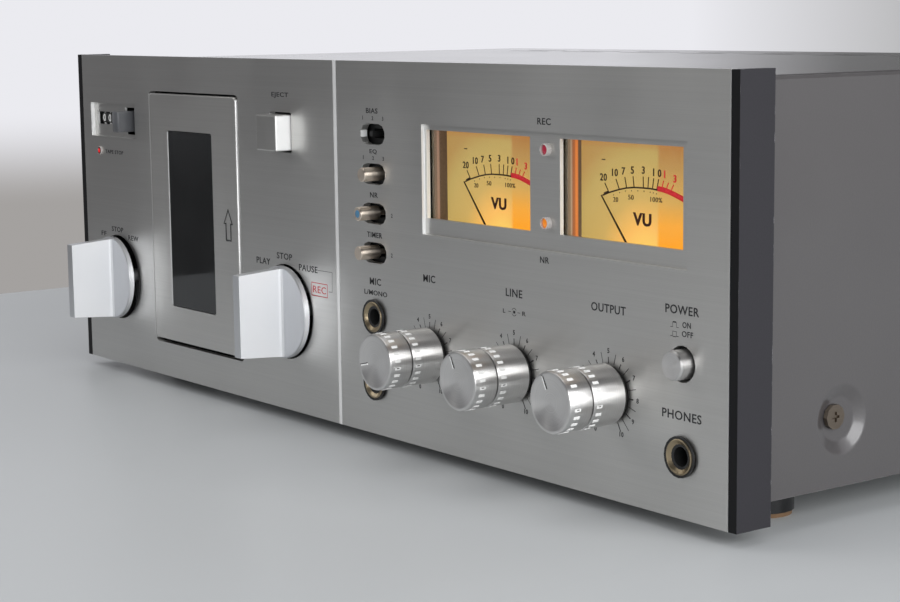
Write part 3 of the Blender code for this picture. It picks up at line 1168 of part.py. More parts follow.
def counter_frame():
    left, right = counter_sides()
    up = around(COUNTER_AXLE_Z, COUNTER_PLATE_HEIGHT)
    back = (COUNTER_BACK_Y, COUNTER_BACK_Y + COUNTER_PLATE)
    back_end = COUNTER_RECESS_X + COUNTER_BACK_REACH
    at = (COUNTER_AXLE_Y, COUNTER_AXLE_Z)
    lamp_z = around(LAMP_Z, LAMP_BODY)
    lamp_x = around(LAMP_X, LAMP_BODY)
    depth = (PANEL_BACK_SEAT, middle(back))
    side_z = grown(up, -COUNTER_LAP)
    frame = box("counter_frame", (left - COUNTER_PLATE - COUNTER_LAP, back_end), back, up)
    join(frame,
         box("side", (left - COUNTER_PLATE, left), depth, side_z),
         box("side", (right, right + COUNTER_PLATE), depth, side_z),
         rod("axle", "X", at, COUNTER_AXLE_RADIUS, (left - COUNTER_PLATE / 2, right + COUNTER_PLATE / 2),
             SMALL_SIDES),
         box("arm", grown(lamp_x, -COUNTER_ARM_INSET), grown(back, COUNTER_LAP),
             (LAMP_Z, up[0] + COUNTER_PLATE)),
         box("holder", lamp_x, (LAMP_BODY_Y, back[1]), lamp_z),
         rod("lamp", "Y", (LAMP_X, LAMP_Z), LAMP_RADIUS, (-LAMP_REACH, LAMP_BODY_Y + COUNTER_PLATE),
             SMALL_SIDES))
    guide = box("guide", grown(around(RESET_X, RESET_STEM_WIDTH), FIT_GAP), grown(back, CUT_OVERRUN),
                grown(around(COUNTER_Z, RESET_STEM_HEIGHT), FIT_GAP))
    cut(frame, guide)
    return finish(frame, BLACK_PLASTIC)


def counter_wheel(name, index):
    x = around(counter_wheel_x(index), COUNTER_WHEEL_WIDTH)
    bore = COUNTER_AXLE_RADIUS + FIT_GAP
    rim = COUNTER_WHEEL_RADIUS - COUNTER_WHEEL_CHAMFER
    profile = [(rim, x[1]), (COUNTER_WHEEL_RADIUS, x[1] - COUNTER_WHEEL_CHAMFER),
               (COUNTER_WHEEL_RADIUS, x[0] + COUNTER_WHEEL_CHAMFER), (rim, x[0]), (bore, x[0]), (bore, x[1])]
    wheel = turned(name, "X", (COUNTER_AXLE_Y, COUNTER_AXLE_Z), profile, ROUND_SIDES, hollow=True)
    return finish(wheel, BLACK_PLASTIC, (middle(x), COUNTER_AXLE_Y, COUNTER_AXLE_Z))


def counter_reset_button():
    end = COUNTER_BACK_Y + COUNTER_PLATE + RESET_STEM_PAST_GUIDE
    stem = (RESET_STEM_WIDTH, RESET_STEM_HEIGHT, end)
    button = push_button("counter_reset_button", around(RESET_X, RESET_WIDTH),
                         around(COUNTER_Z, RESET_HEIGHT), RESET_REACH, RESET_BACK_Y, EJECT_EDGE, stem)
    return finish(button, BLACK_PLASTIC, (RESET_X, 0.0, COUNTER_Z))


def slider_y():
    back = SWITCH_BOARD_Y - SWITCH_FLOOR - FIT_GAP
    return (back - SELECTOR_SLIDER_DEPTH, back)


def selector_bank():
    board_x = around(SELECTOR_X, SWITCH_BOARD_WIDTH)
    low = selector_z(len(SELECTOR_NAMES) - 1)
    board_z = grown((low, selector_z(0)), SWITCH_BOARD_MARGIN)
    board_y = (SWITCH_BOARD_Y, SWITCH_BOARD_Y + BOARD_THICK)
    bank = box("selector_switch_bank", board_x, board_y, board_z)
    slot_x = around(SELECTOR_X, SELECTOR_SLIDER_LENGTH + 2 * SELECTOR_THROW + 2 * FIT_GAP)
    bodies = []
    slots = []
    for i in range(len(SELECTOR_NAMES)):
        body_y = (SWITCH_FRONT_Y, SWITCH_BOARD_Y + BOARD_THICK / 2)
        bodies.append(box("body", around(SELECTOR_X, SWITCH_LENGTH), body_y,
                          around(selector_z(i), SWITCH_HEIGHT)))
        slot_y = (SWITCH_FRONT_Y - CUT_OVERRUN, SWITCH_BOARD_Y - SWITCH_FLOOR)
        slots.append(box("slot", slot_x, slot_y,
                         grown(around(selector_z(i), SELECTOR_SLIDER_HEIGHT), FIT_GAP)))
    post_x = grown(board_x, -SWITCH_POST_INSET)
    post_z = grown(board_z, -SWITCH_POST_INSET)
    post_y = (PANEL_BACK_SEAT, SWITCH_BOARD_Y + BOARD_THICK / 2)
    posts = [rod("post", "Y", (x, z), SWITCH_POST_RADIUS, post_y, SMALL_SIDES)
             for x in post_x for z in post_z]
    join(bank, *bodies, *posts)
    cut(bank, *slots)
    return finish(bank, BOARD_RESIN)


def selector_lever(name, index, capped):
    x = SELECTOR_X + SELECTOR_REST_SHARES[SELECTOR_NAMES[index]] * SELECTOR_THROW
    z = selector_z(index)
    slide = slider_y()
    body = box(name, around(x, SELECTOR_SLIDER_LENGTH), slide, around(z, SELECTOR_SLIDER_HEIGHT))
    tip = SELECTOR_CAP_BACK_Y - SELECTOR_CAP_EDGE * 2 if capped else SELECTOR_BARE_TIP_Y
    join(body, box("stem", around(x, SELECTOR_STEM), (tip, middle(slide)), around(z, SELECTOR_STEM)))
    if capped:
        front = -SELECTOR_CAP_REACH
        profile = [(0.0, SELECTOR_CAP_BACK_Y), (SELECTOR_CAP_RADIUS, SELECTOR_CAP_BACK_Y),
                   (SELECTOR_CAP_RADIUS, front + SELECTOR_CAP_EDGE),
                   (SELECTOR_CAP_RADIUS - SELECTOR_CAP_EDGE, front), (0.0, front)]
        join(body, turned("cap", "Y", (x, z), profile))
    return finish(body, CHAMPAGNE if capped else BRASS, (x, 0.0, z))


def level_control_board():
    board_x = (knob_x(0) - POT_BOARD_MARGIN, knob_x(2) + POT_BOARD_MARGIN)
    board = box("level_control_board", board_x, (POT_BOARD_Y, POT_BOARD_Y + BOARD_THICK),
                around(KNOB_RISE, POT_BOARD_HEIGHT))
    front = -FIT_GAP - WASHER_THICK
    bore_end = KNOB_SHAFT_DEPTH + 2 * FIT_GAP
    pot_back = POT_BOARD_Y + BOARD_THICK / 2
    for i in range(len(KNOB_NAMES)):
        profile = [(0.0, pot_back), (POT_RADIUS, pot_back), (POT_RADIUS, POT_FRONT_Y),
                   (BUSH_RADIUS, POT_FRONT_Y), (BUSH_RADIUS, -FIT_GAP), (WASHER_RADIUS, -FIT_GAP),
                   (WASHER_RADIUS, front), (BUSH_BORE, front), (BUSH_BORE, bore_end), (0.0, bore_end)]
        join(board, turned("pot", "Y", (knob_x(i), KNOB_RISE), profile))
    return finish(board, BOARD_RESIN)


def front_knob(name, index):
    at = (knob_x(index), KNOB_RISE)
    back = -KNOB_BACK - KNOB_REAR_LENGTH - KNOB_SPLIT
    front = back - KNOB_FRONT_LENGTH
    profile = [(0.0, KNOB_SHAFT_DEPTH), (KNOB_SHAFT_RADIUS, KNOB_SHAFT_DEPTH), (KNOB_SHAFT_RADIUS, back),
               (KNOB_RADIUS, back), (KNOB_RADIUS, front + KNOB_CHAMFER), (KNOB_RADIUS - KNOB_CHAMFER, front),
               (0.0, front)]
    knob = turned(name, "Y", at, profile, FINE_SIDES)
    groove = box("groove", around(at[0], KNOB_POINTER_WIDTH),
                 (front - CUT_OVERRUN, front + KNOB_POINTER_DEPTH),
                 (at[1] + KNOB_POINTER_INNER, at[1] + KNOB_RADIUS + CUT_OVERRUN))
    cut(knob, groove)
    return finish(knob, SPUN, (at[0], 0.0, at[1]), KNOB_POINTS[KNOB_NAMES[index]])


def rear_knob(name, index):
    at = (knob_x(index), KNOB_RISE)
    front = -KNOB_BACK - KNOB_REAR_LENGTH
    bore = KNOB_SHAFT_RADIUS + FIT_GAP
    profile = [(SLEEVE_RADIUS, KNOB_SHAFT_DEPTH), (SLEEVE_RADIUS, -KNOB_BACK), (KNOB_RADIUS, -KNOB_BACK),
               (KNOB_RADIUS, front), (bore, front), (bore, KNOB_SHAFT_DEPTH)]
    knob = turned(name, "Y", at, profile, FINE_SIDES, hollow=True)
    return finish(knob, SPUN, (at[0], 0.0, at[1]))


def jack(name, at):
    """Threaded barrel with a nut in front of the panel and a body behind it."""
    front = -FIT_GAP - JACK_FLANGE_THICK
    overlap = PANEL_BACK_SEAT + JACK_FLANGE_THICK
    profile = [(0.0, overlap), (JACK_BARREL_RADIUS, overlap), (JACK_BARREL_RADIUS, -FIT_GAP),
               (JACK_FLANGE_RADIUS, -FIT_GAP), (JACK_FLANGE_RADIUS, front), (0.0, front)]
    body = box(name, around(at[0], JACK_BODY), (PANEL_BACK_SEAT, JACK_BODY_BACK_Y), around(at[1], JACK_BODY))
    join(body, turned("barrel", "Y", at, profile))
    bore_y = (front - CUT_OVERRUN, front + JACK_BORE_DEPTH)
    return cut(body, rod("bore", "Y", at, JACK_BORE_RADIUS, bore_y))


def mic_jacks():
    pair = jack("mic_jack_pair", MIC_JACKS[0])
    board_y = (JACK_BODY_BACK_Y - BOARD_THICK / 2, JACK_BODY_BACK_Y + BOARD_THICK)
    board_z = grown((MIC_JACKS[0][1], MIC_JACKS[1][1]), JACK_BODY / 2 + JACK_BOARD_MARGIN)
    join(pair, jack("second", MIC_JACKS[1]),
         box("board", around(MIC_JACK_X, JACK_BOARD_WIDTH), board_y, board_z))
    return finish(pair, BLACK_PLASTIC)


def phones_jack():
    return finish(jack("phones_jack", (PHONES_X, PHONES_Z)), BLACK_PLASTIC)


def power_switch():
    at = (POWER_X, POWER_Z)
    body = box("power_switch", around(POWER_X, POWER_SWITCH_SIDE), (PANEL_BACK_SEAT, POWER_SWITCH_BACK_Y),
               around(POWER_Z, POWER_SWITCH_SIDE))
    room = POWER_TRAVEL + 2 * FIT_GAP
    cut(body,
        rod("dish", "Y", at, POWER_BUTTON_RADIUS + 2 * FIT_GAP,
            (PANEL_BACK_SEAT - CUT_OVERRUN, POWER_BUTTON_BACK_Y + room)),
        rod("bore", "Y", at, POWER_STEM_RADIUS + FIT_GAP, (PANEL_BACK_SEAT, POWER_STEM_END_Y + room)))
    return finish(body, BLACK_PLASTIC)


def power_button():
    at = (POWER_X, POWER_Z)
    front = -POWER_BUTTON_REACH
    profile = [(0.0, POWER_STEM_END_Y), (POWER_STEM_RADIUS, POWER_STEM_END_Y),
               (POWER_STEM_RADIUS, POWER_BUTTON_BACK_Y), (POWER_BUTTON_RADIUS, POWER_BUTTON_BACK_Y),
               (POWER_BUTTON_RADIUS, front + POWER_BUTTON_EDGE),
               (POWER_BUTTON_RADIUS - POWER_BUTTON_EDGE, front), (0.0, front)]
    button = turned("power_button", "Y", at, profile)
    return finish(button, SPUN, (POWER_X, 0.0, POWER_Z))


def meter_unit():
    """Two lamp-lit meter housings and the two indicator lamps on the bridge between them."""
    pocket_z = (METER_POCKET_RISE, METER_WINDOW_TOP + METER_POCKET_TOP_ROOM)
    housings = []
    for i, x in enumerate(METER_CENTRES):
        pocket_x = around(x, METER_WINDOW_WIDTH - 2 * METER_POCKET_INSET)
        housing = box("meter_unit" if i == 0 else "housing", grown(pocket_x, METER_WALL),
                      (METER_HOUSING_Y, METER_BACK_Y), grown(pocket_z, METER_WALL))
        pocket = box("pocket", pocket_x, (METER_HOUSING_Y - CUT_OVERRUN, METER_SCALE_Y), pocket_z)
        pin_y = (METER_SCALE_Y - CUT_OVERRUN, METER_SCALE_Y + NEEDLE_PIN_DEPTH + FIT_GAP)
        pin = rod("pin", "Y", (x, NEEDLE_Z), NEEDLE_PIN_RADIUS + FIT_GAP, pin_y, SMALL_SIDES)
        housings.append(cut(housing, pocket, pin))
    bridge_y = (METER_BRIDGE_Y, METER_BRIDGE_Y + METER_BRIDGE_THICK)
    inner = METER_WINDOW_WIDTH / 2 - METER_POCKET_INSET + METER_WALL / 2
    bridge = box("bridge", (METER_CENTRES[0] + inner, METER_CENTRES[1] - inner), bridge_y,
                 (METER_WINDOW_RISE, METER_WINDOW_TOP))
    lamp_y = (METER_RECESS_DEPTH - METER_LAMP_REACH, middle(bridge_y))
    lamps = [rod("lamp", "Y", at, LAMP_RADIUS, lamp_y, SMALL_SIDES) for at in METER_LAMPS]
    unit = join(housings[0], housings[1], bridge, *lamps)
    return finish(unit, SCALE_CREAM)


def meter_window():
    across = grown(around(METER_RECESS_X, METER_RECESS_WIDTH), METER_SHEET_MARGIN / 2)
    up = (METER_WINDOW_RISE - METER_SHEET_MARGIN, METER_WINDOW_TOP + METER_SHEET_MARGIN)
    holes = [circle(at, LAMP_RADIUS + 2 * FIT_GAP, SMALL_SIDES) for at in METER_LAMPS]
    span = (PANEL_BACK_SEAT, PANEL_BACK_SEAT + METER_SHEET)
    pane = plate("meter_window", "Y", span, rectangle(across, up), holes)
    return finish(pane, CLEAR)


def meter_needle(name, x):
    back = METER_SCALE_Y - NEEDLE_SCALE_GAP
    front = back - NEEDLE_THICK
    root = NEEDLE_ROOT_WIDTH / 2
    tip = NEEDLE_TIP_WIDTH / 2
    top = NEEDLE_Z + NEEDLE_LENGTH
    outline = [(x - root, NEEDLE_Z), (x + root, NEEDLE_Z), (x + tip, top), (x - tip, top)]
    needle = plate(name, "Y", (front, back), outline)
    end = METER_SCALE_Y + NEEDLE_PIN_DEPTH
    profile = [(0.0, end), (NEEDLE_PIN_RADIUS, end), (NEEDLE_PIN_RADIUS, back), (NEEDLE_HUB_RADIUS, back),
               (NEEDLE_HUB_RADIUS, front - NEEDLE_THICK), (0.0, front - NEEDLE_THICK)]
    join(needle, turned("hub", "Y", (x, NEEDLE_Z), profile, SMALL_SIDES))
    return finish(needle, BLACK_PAINT, (x, 0.0, NEEDLE_Z), NEEDLE_REST)


def main_board():
    bottom = TRAY_TOP + MAIN_BOARD_RISE
    top = bottom + BOARD_THICK
    board = box("main_board", MAIN_BOARD_X, MAIN_BOARD_Y, (bottom, top))
    y = middle(MAIN_BOARD_Y)
    parts = [rod("post", "Z", (px, py), BOARD_POST_RADIUS, (FLOOR_SEAT, bottom + BOARD_THICK / 2), SMALL_SIDES)
             for px in grown(MAIN_BOARD_X, -BOARD_POST_INSET) for py in grown(MAIN_BOARD_Y, -BOARD_POST_INSET)]
    for i in range(CAPACITOR_COUNT):
        x = MAIN_BOARD_X[0] + (i + 1) * CAPACITOR_PITCH
        parts.append(rod("capacitor", "Z", (x, y), CAPACITOR_RADIUS, (bottom + BOARD_THICK / 2,
                                                                      top + CAPACITOR_HEIGHT)))
    sink_x = around(middle(MAIN_BOARD_X) + HEAT_SINK_LENGTH / 2, HEAT_SINK_LENGTH)
    parts.append(box("heat_sink", sink_x, around(y, HEAT_SINK_WIDTH),
                     (bottom + BOARD_THICK / 2, top + HEAT_SINK_HEIGHT)))
    join(board, *parts)
    return finish(board, BOARD_RESIN)


def power_transformer():
    core_z = (FLOOR_SEAT, FLOOR_SEAT + TRANSFORMER_HEIGHT)
    core = box("power_transformer", around(TRANSFORMER_X, TRANSFORMER_LENGTH),
               around(TRANSFORMER_Y, TRANSFORMER_DEPTH), core_z)
    coil = box("coil", around(TRANSFORMER_X, COIL_LENGTH), around(TRANSFORMER_Y, COIL_DEPTH),
               around(middle(core_z), COIL_HEIGHT))
    join(core, coil)
    return finish(core, DARK_STEEL)


def socket_block_inner():
    return (around(SOCKET_BLOCK_X, SOCKET_BLOCK_WIDTH - 2 * SOCKET_BLOCK_MARGIN),
            around(SOCKET_BLOCK_Z, SOCKET_BLOCK_HEIGHT - 2 * SOCKET_BLOCK_MARGIN))


def rear_sockets():
    plate_y = (REAR_SEAT, REAR_SEAT + SOCKET_PLATE_THICK)
    block = box("rear_socket_block", around(SOCKET_BLOCK_X, SOCKET_BLOCK_WIDTH), plate_y,
                around(SOCKET_BLOCK_Z, SOCKET_BLOCK_HEIGHT))
    inner_x, inner_z = socket_block_inner()
    pieces = [box("inner", inner_x, (REAR_SEAT - SOCKET_BLOCK_DEPTH, middle(plate_y)), inner_z)]
    bores = []
    pitch = (inner_x[1] - inner_x[0]) / SOCKET_COUNT
    end = plate_y[1] + SOCKET_REACH
    for i in range(SOCKET_COUNT):
        at = (inner_x[0] + (i + 0.5) * pitch, SOCKET_BLOCK_Z)
        pieces.append(rod("socket", "Y", at, SOCKET_RADIUS, (middle(plate_y), end)))
        bores.append(rod("bore", "Y", at, SOCKET_BORE_RADIUS, (end - SOCKET_BORE_DEPTH, end + CUT_OVERRUN),
                         SMALL_SIDES))
    join(block, *pieces)
    cut(block, *bores)
    return finish(block, BLACK_PLASTIC)


def mains_inlet():
    neck = INLET_BORE_RADIUS + INLET_NECK_WALL
    inside = REAR_PANEL_Y[0] - FIT_GAP
    nut = inside - INLET_NUT_THICK
    end = REAR_SEAT + INLET_REACH
    profile = [(neck, end), (INLET_FLANGE_RADIUS, REAR_SEAT + INLET_REACH / 2),
               (INLET_FLANGE_RADIUS, REAR_SEAT), (neck, REAR_SEAT), (neck, inside),
               (INLET_FLANGE_RADIUS, inside), (INLET_FLANGE_RADIUS, nut), (INLET_BORE_RADIUS, nut),
               (INLET_BORE_RADIUS, end)]
    gland = turned("mains_inlet", "Y", (INLET_X, INLET_Z), profile, ROUND_SIDES, hollow=True)
    return finish(gland, BLACK_PLASTIC)


def build_cabinet():
    front_panel_left()
    front_panel_right()
    seam_strip()
    end_cap("end_cap_left", -1)
    end_cap("end_cap_right", 1)
    top_cover()
    chassis_tray()
    rear_panel()
    for row, y in (("front", FOOT_FRONT_Y), ("rear", BODY_DEPTH - FOOT_REAR_INSET)):
        foot(f"foot_{row}_left", -1, y)
        foot(f"foot_{row}_right", 1, y)
    cover_screw("cover_screw_left", -1)
    cover_screw("cover_screw_right", 1)


def build_transport():
    mechanism_plate()
    drive_motor()
    drive_belt()
    cassette_door()
    door_window()
    cassette_holder()
    spindle("supply_spindle", SUPPLY_AT)
    spindle("takeup_spindle", TAKEUP_AT)
    capstan_flywheel()
    motor_pulley()
    head_bridge()
    tape_head("record_play_head", HEAD_LENGTH, HEAD_HEIGHT, HUB_MIDDLE)
    tape_head("erase_head", ERASE_HEAD_LENGTH, ERASE_HEAD_HEIGHT, HUB_MIDDLE - ERASE_HEAD_DROP)
    pinch_roller()


def build_controls():
    lever("winding_lever", WINDING_LEVER_X, WINDING_DISC_BACK)
    lever("play_lever", PLAY_LEVER_X, PLAY_DISC_BACK)
    eject_button()
    counter_frame()
    for i, place in enumerate(("hundreds", "tens", "units")):
        counter_wheel(f"counter_wheel_{place}", i)
    counter_reset_button()
    selector_bank()
    for i, name in enumerate(SELECTOR_NAMES):
        selector_lever(f"{name}_switch_lever", i, name != "bias")
    level_control_board()
    for i, name in enumerate(KNOB_NAMES):
        front_knob(f"{name}_knob_front", i)
        rear_knob(f"{name}_knob_rear", i)
    mic_jacks()
    phones_jack()
    power_switch()
    power_button()
    meter_unit()
    meter_window()
    meter_needle("meter_needle_left", METER_CENTRES[0])
    meter_needle("meter_needle_right", METER_CENTRES[1])


def build_inside():
    main_board()
    power_transformer()
    rear_sockets()
    mains_inlet()


clear_scene()
PART = new_collection("cassette_deck")
SHAPING = new_collection("shaping")
FRAME = bpy.data.objects.new("deck_frame", None)
FRAME.location = (0.0, FRONT_Y, PANEL_LIFT)
PART.objects.link(FRAME)
build_cabinet()
build_transport()
build_controls()
build_inside()
bpy.context.view_layer.update()
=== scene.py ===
"""Looks for the cassette deck: finishes, lettering, meters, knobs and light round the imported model."""
import json
import math

import bmesh
import bpy
from mathutils import Matrix, Vector


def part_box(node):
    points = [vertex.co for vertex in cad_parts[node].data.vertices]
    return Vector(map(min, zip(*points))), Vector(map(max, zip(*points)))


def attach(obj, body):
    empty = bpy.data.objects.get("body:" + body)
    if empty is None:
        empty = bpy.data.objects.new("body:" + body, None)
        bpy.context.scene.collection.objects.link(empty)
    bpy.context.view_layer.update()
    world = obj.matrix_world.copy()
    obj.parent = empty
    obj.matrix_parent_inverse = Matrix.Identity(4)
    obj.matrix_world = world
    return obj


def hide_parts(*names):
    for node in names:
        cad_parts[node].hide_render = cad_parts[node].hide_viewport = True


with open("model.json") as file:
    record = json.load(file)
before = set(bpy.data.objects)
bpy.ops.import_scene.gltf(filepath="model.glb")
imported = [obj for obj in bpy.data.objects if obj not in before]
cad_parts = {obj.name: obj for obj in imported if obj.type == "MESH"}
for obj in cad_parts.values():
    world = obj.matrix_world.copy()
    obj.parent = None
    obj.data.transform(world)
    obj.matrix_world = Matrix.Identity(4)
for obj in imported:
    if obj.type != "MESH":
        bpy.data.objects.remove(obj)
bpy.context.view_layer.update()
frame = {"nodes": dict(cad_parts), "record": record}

# Everything below is written in millimetres from the middle of the panel's lower edge
PANEL_ORIGIN = Vector((0.0, -0.1233, 0.005))
MM = 0.001
PRINT_Y = (-0.06, 0.15)


# Node wiring

def wire(tree, node, inputs):
    """Sets a node's inputs, or links what feeds them."""
    for key, value in inputs.items():
        if isinstance(value, bpy.types.NodeSocket):
            tree.links.new(value, node.inputs[key])
        else:
            node.inputs[key].default_value = value
    return node


def add(tree, kind, inputs=None, **settings):
    """One shader node, with its settings, its socket values and what feeds it."""
    node = tree.nodes.new(kind)
    for key, value in settings.items():
        setattr(node, key, value)
    return wire(tree, node, inputs or {})


def maths(tree, operation, *values):
    """The result of one sum."""
    return add(tree, "ShaderNodeMath", dict(enumerate(values)), operation=operation).outputs[0]


def vector_maths(tree, operation, *vectors):
    """The outputs of one vector sum: a vector at 0, a length or product at "Value"."""
    return add(tree, "ShaderNodeVectorMath", dict(enumerate(vectors)), operation=operation).outputs


def part_of(tree, vector, axis):
    """One part of a vector: X, Y or Z."""
    return add(tree, "ShaderNodeSeparateXYZ", {0: vector}).outputs[axis]


def span(tree, value, low, high, to_low=0.0, to_high=1.0, soft=False):
    """A value carried from one range to another and kept inside it."""
    ends = {"Value": value, "From Min": low, "From Max": high, "To Min": to_low, "To Max": to_high}
    return add(tree, "ShaderNodeMapRange", ends, interpolation_type="SMOOTHSTEP" if soft else "LINEAR").outputs[0]


def mix(tree, mask, low, high):
    """A value between two others, by a mask."""
    return add(tree, "ShaderNodeMix", {0: mask, 2: low, 3: high}).outputs[0]


def noise(tree, inputs, **settings):
    """Fractal noise."""
    return add(tree, "ShaderNodeTexNoise", inputs, **settings).outputs[0]


def start_group(name, inputs, outputs):
    """An empty group with named sockets; an input with no value is a vector."""
    tree = bpy.data.node_groups.new(name, "ShaderNodeTree")
    for label, value in inputs.items():
        kind = "NodeSocketVector" if value is None else "NodeSocketFloat"
        socket = tree.interface.new_socket(label, in_out="INPUT", socket_type=kind)
        if value is not None:
            socket.default_value = value
    for label in outputs:
        tree.interface.new_socket(label, in_out="OUTPUT", socket_type="NodeSocketFloat")
    return tree, tree.nodes.new("NodeGroupInput").outputs, tree.nodes.new("NodeGroupOutput")


def brush_line_group():
    """Long fine lines along X, for brushed metal."""
    tree, given, out = start_group("brush_lines", {"Vector": None, "Along": 14.0, "Across": 5200.0},
                                   ("Height", "Tone"))
    stretch = add(tree, "ShaderNodeCombineXYZ", {"X": given["Along"], "Y": given["Across"], "Z": given["Across"]})
    spot = vector_maths(tree, "MULTIPLY", given["Vector"], stretch.outputs[0])[0]
    fine = noise(tree, {"Vector": spot, "Scale": 1.0, "Detail": 3.0, "Roughness": 0.65})
    broad = noise(tree, {"Vector": spot, "Scale": 0.16, "Detail": 2.0})
    wire(tree, out, {"Height": fine, "Tone": mix(tree, 0.3, fine, broad)})
    return tree


def grain_group():
    """Small pits and lumps of moulded plastic, paint, rubber and felt."""
    tree, given, out = start_group("grain", {"Vector": None, "Size": 900.0}, ("Height", "Tone"))
    place = {"Vector": given["Vector"], "Scale": given["Size"]}
    lumps = noise(tree, {**place, "Detail": 4.0, "Roughness": 0.6})
    cells = add(tree, "ShaderNodeTexVoronoi", place).outputs[0]
    wire(tree, out, {"Height": mix(tree, 0.45, lumps, cells), "Tone": lumps})
    return tree


def smudge_group():
    """Broad soft patches of handling and dust."""
    tree, given, out = start_group("smudges", {"Vector": None, "Size": 14.0}, ("Mask",))
    cloud = noise(tree, {"Vector": given["Vector"], "Scale": given["Size"], "Detail": 5.0, "Roughness": 0.55,
                         "Distortion": 0.4})
    wire(tree, out, {"Mask": span(tree, cloud, 0.38, 0.68, soft=True)})
    return tree


def edge_wear_group():
    """A mask that is 1 on rubbed edges, broken up by noise."""
    tree, given, out = start_group("edge_wear", {"Vector": None, "Reach": 0.0004, "Size": 240.0, "Least": 0.42},
                                   ("Mask",))
    soft = add(tree, "ShaderNodeBevel", {"Radius": given["Reach"]}, samples=4).outputs[0]
    flat = add(tree, "ShaderNodeNewGeometry").outputs["Normal"]
    edge = span(tree, vector_maths(tree, "DOT_PRODUCT", soft, flat)["Value"], 0.995, 0.86)
    chips = noise(tree, {"Vector": given["Vector"], "Scale": given["Size"], "Detail": 3.0})
    broken = span(tree, chips, given["Least"], maths(tree, "ADD", given["Least"], 0.14))
    wire(tree, out, {"Mask": maths(tree, "MULTIPLY", edge, broken)})
    return tree


def ring_line_group():
    """Fine rings round the Y axis, for turned metal."""
    tree, given, out = start_group("ring_lines", {"Vector": None, "Pitch": 2600.0}, ("Height", "Tone"))
    parts = add(tree, "ShaderNodeSeparateXYZ", {0: given["Vector"]}).outputs
    flat = add(tree, "ShaderNodeCombineXYZ", {"X": parts["X"], "Z": parts["Z"]}).outputs[0]
    deep = maths(tree, "ADD", vector_maths(tree, "LENGTH", flat)["Value"], parts["Y"])
    lines = noise(tree, {"W": maths(tree, "MULTIPLY", deep, given["Pitch"]), "Scale": 1.0, "Detail": 2.0},
                  noise_dimensions="1D")
    wire(tree, out, {"Height": lines, "Tone": lines})
    return tree


BRUSH_LINES = brush_line_group()
GRAIN = grain_group()
SMUDGES = smudge_group()
EDGE_WEAR = edge_wear_group()
RING_LINES = ring_line_group()


def start_material(name, settings):
    """A node material with the shader's own plain values set."""
    material = bpy.data.materials.new(name)
    material.use_nodes = True
    tree = material.node_tree
    return material, tree, wire(tree, tree.nodes["Principled BSDF"], settings)


def place_group(tree, group, spot, **values):
    """The outputs of a shared effect placed in one material."""
    return add(tree, "ShaderNodeGroup", {"Vector": spot, **values}, node_tree=group).outputs


def object_spot(tree, centre=None, turn=(0.0, 0.0, 0.0)):
    """Object coordinates, centred on a point (x, z) of the panel where one is given."""
    at = PANEL_ORIGIN + Vector((centre[0], 0.0, centre[1])) * MM if centre else Vector()
    spot = add(tree, "ShaderNodeTexCoord").outputs["Object"]
    return add(tree, "ShaderNodeMapping", {"Vector": spot, "Location": tuple(-at), "Rotation": turn}).outputs[0]


def object_normal(tree):
    """The direction a surface faces, in object space."""
    return add(tree, "ShaderNodeTexCoord").outputs["Normal"]


def blend_colour(tree, mask, low, high):
    """A colour between two, by a mask."""
    ends = {0: mask}
    for socket, colour in ((6, low), (7, high)):
        ends[socket] = colour if isinstance(colour, bpy.types.NodeSocket) else (*colour, 1.0)
    return add(tree, "ShaderNodeMix", ends, data_type="RGBA").outputs[2]


def raise_surface(tree, shader, height, strength, depth):
    """A bump from a height."""
    bump = add(tree, "ShaderNodeBump", {"Height": height, "Strength": strength, "Distance": depth})
    wire(tree, shader, {"Normal": bump.outputs[0]})


def spread_across(tree, shader, along):
    """Stretches highlights across tool lines that run along a vector given in object space."""
    across = vector_maths(tree, "CROSS_PRODUCT", object_normal(tree), along)[0]
    turned = add(tree, "ShaderNodeVectorTransform", {0: across}, vector_type="VECTOR", convert_from="OBJECT",
                 convert_to="WORLD")
    wire(tree, shader, {"Tangent": turned.outputs[0]})


def brushed_metal(name, low, high, rough):
    """Metal with straight brush lines along X and a little handling; faces turned to +X carry a painted highlight,
    near-white and less metallic.
    """
    material, tree, shader = start_material(name, {"Anisotropic": 0.7})
    spot = object_spot(tree)
    brushed = place_group(tree, BRUSH_LINES, spot)
    handled = place_group(tree, SMUDGES, spot)["Mask"]
    # Painted highlight: faces turned to +X are near-white and less metallic, standing in for the light from the
    # right.
    painted_highlight = span(tree, part_of(tree, object_normal(tree), "X"), 0.8, 0.95)
    worked = maths(tree, "MULTIPLY", maths(tree, "ADD", brushed["Tone"], handled), 0.5)
    toned = blend_colour(tree, brushed["Tone"], low, high)
    wire(tree, shader, {"Base Color": blend_colour(tree, painted_highlight, toned, (0.9, 0.9, 0.89)),
                        "Metallic": mix(tree, painted_highlight, 1.0, 0.3), "Roughness": mix(tree, worked, *rough)})
    raise_surface(tree, shader, brushed["Height"], 0.14, 0.00004)
    spread_across(tree, shader, (1.0, 0.02, 0.03))
    return material


def drawn_metal(name, low, high, rough, side):
    """Satin metal with fine lines that run up and down; side is a near-white colour painted on its two side faces as
    a highlight.
    """
    material, tree, shader = start_material(name, {"Anisotropic": 0.75})
    drawn = place_group(tree, BRUSH_LINES, object_spot(tree, turn=(0.0, math.pi / 2, 0.0)))
    # Painted highlight: both side faces, turned to +X and -X, get the pale side colour and less metal.
    painted_side_highlight = span(tree, maths(tree, "ABSOLUTE", part_of(tree, object_normal(tree), "X")), 0.55, 0.98)
    toned = blend_colour(tree, drawn["Tone"], low, high)
    wire(tree, shader, {"Base Color": blend_colour(tree, painted_side_highlight, toned, side),
                        "Metallic": mix(tree, painted_side_highlight, 0.95, 0.3), "Roughness": mix(tree, drawn["Tone"], *rough)})
    raise_surface(tree, shader, drawn["Height"], 0.06, 0.00003)
    spread_across(tree, shader, (0.02, 0.03, 1.0))
    return material


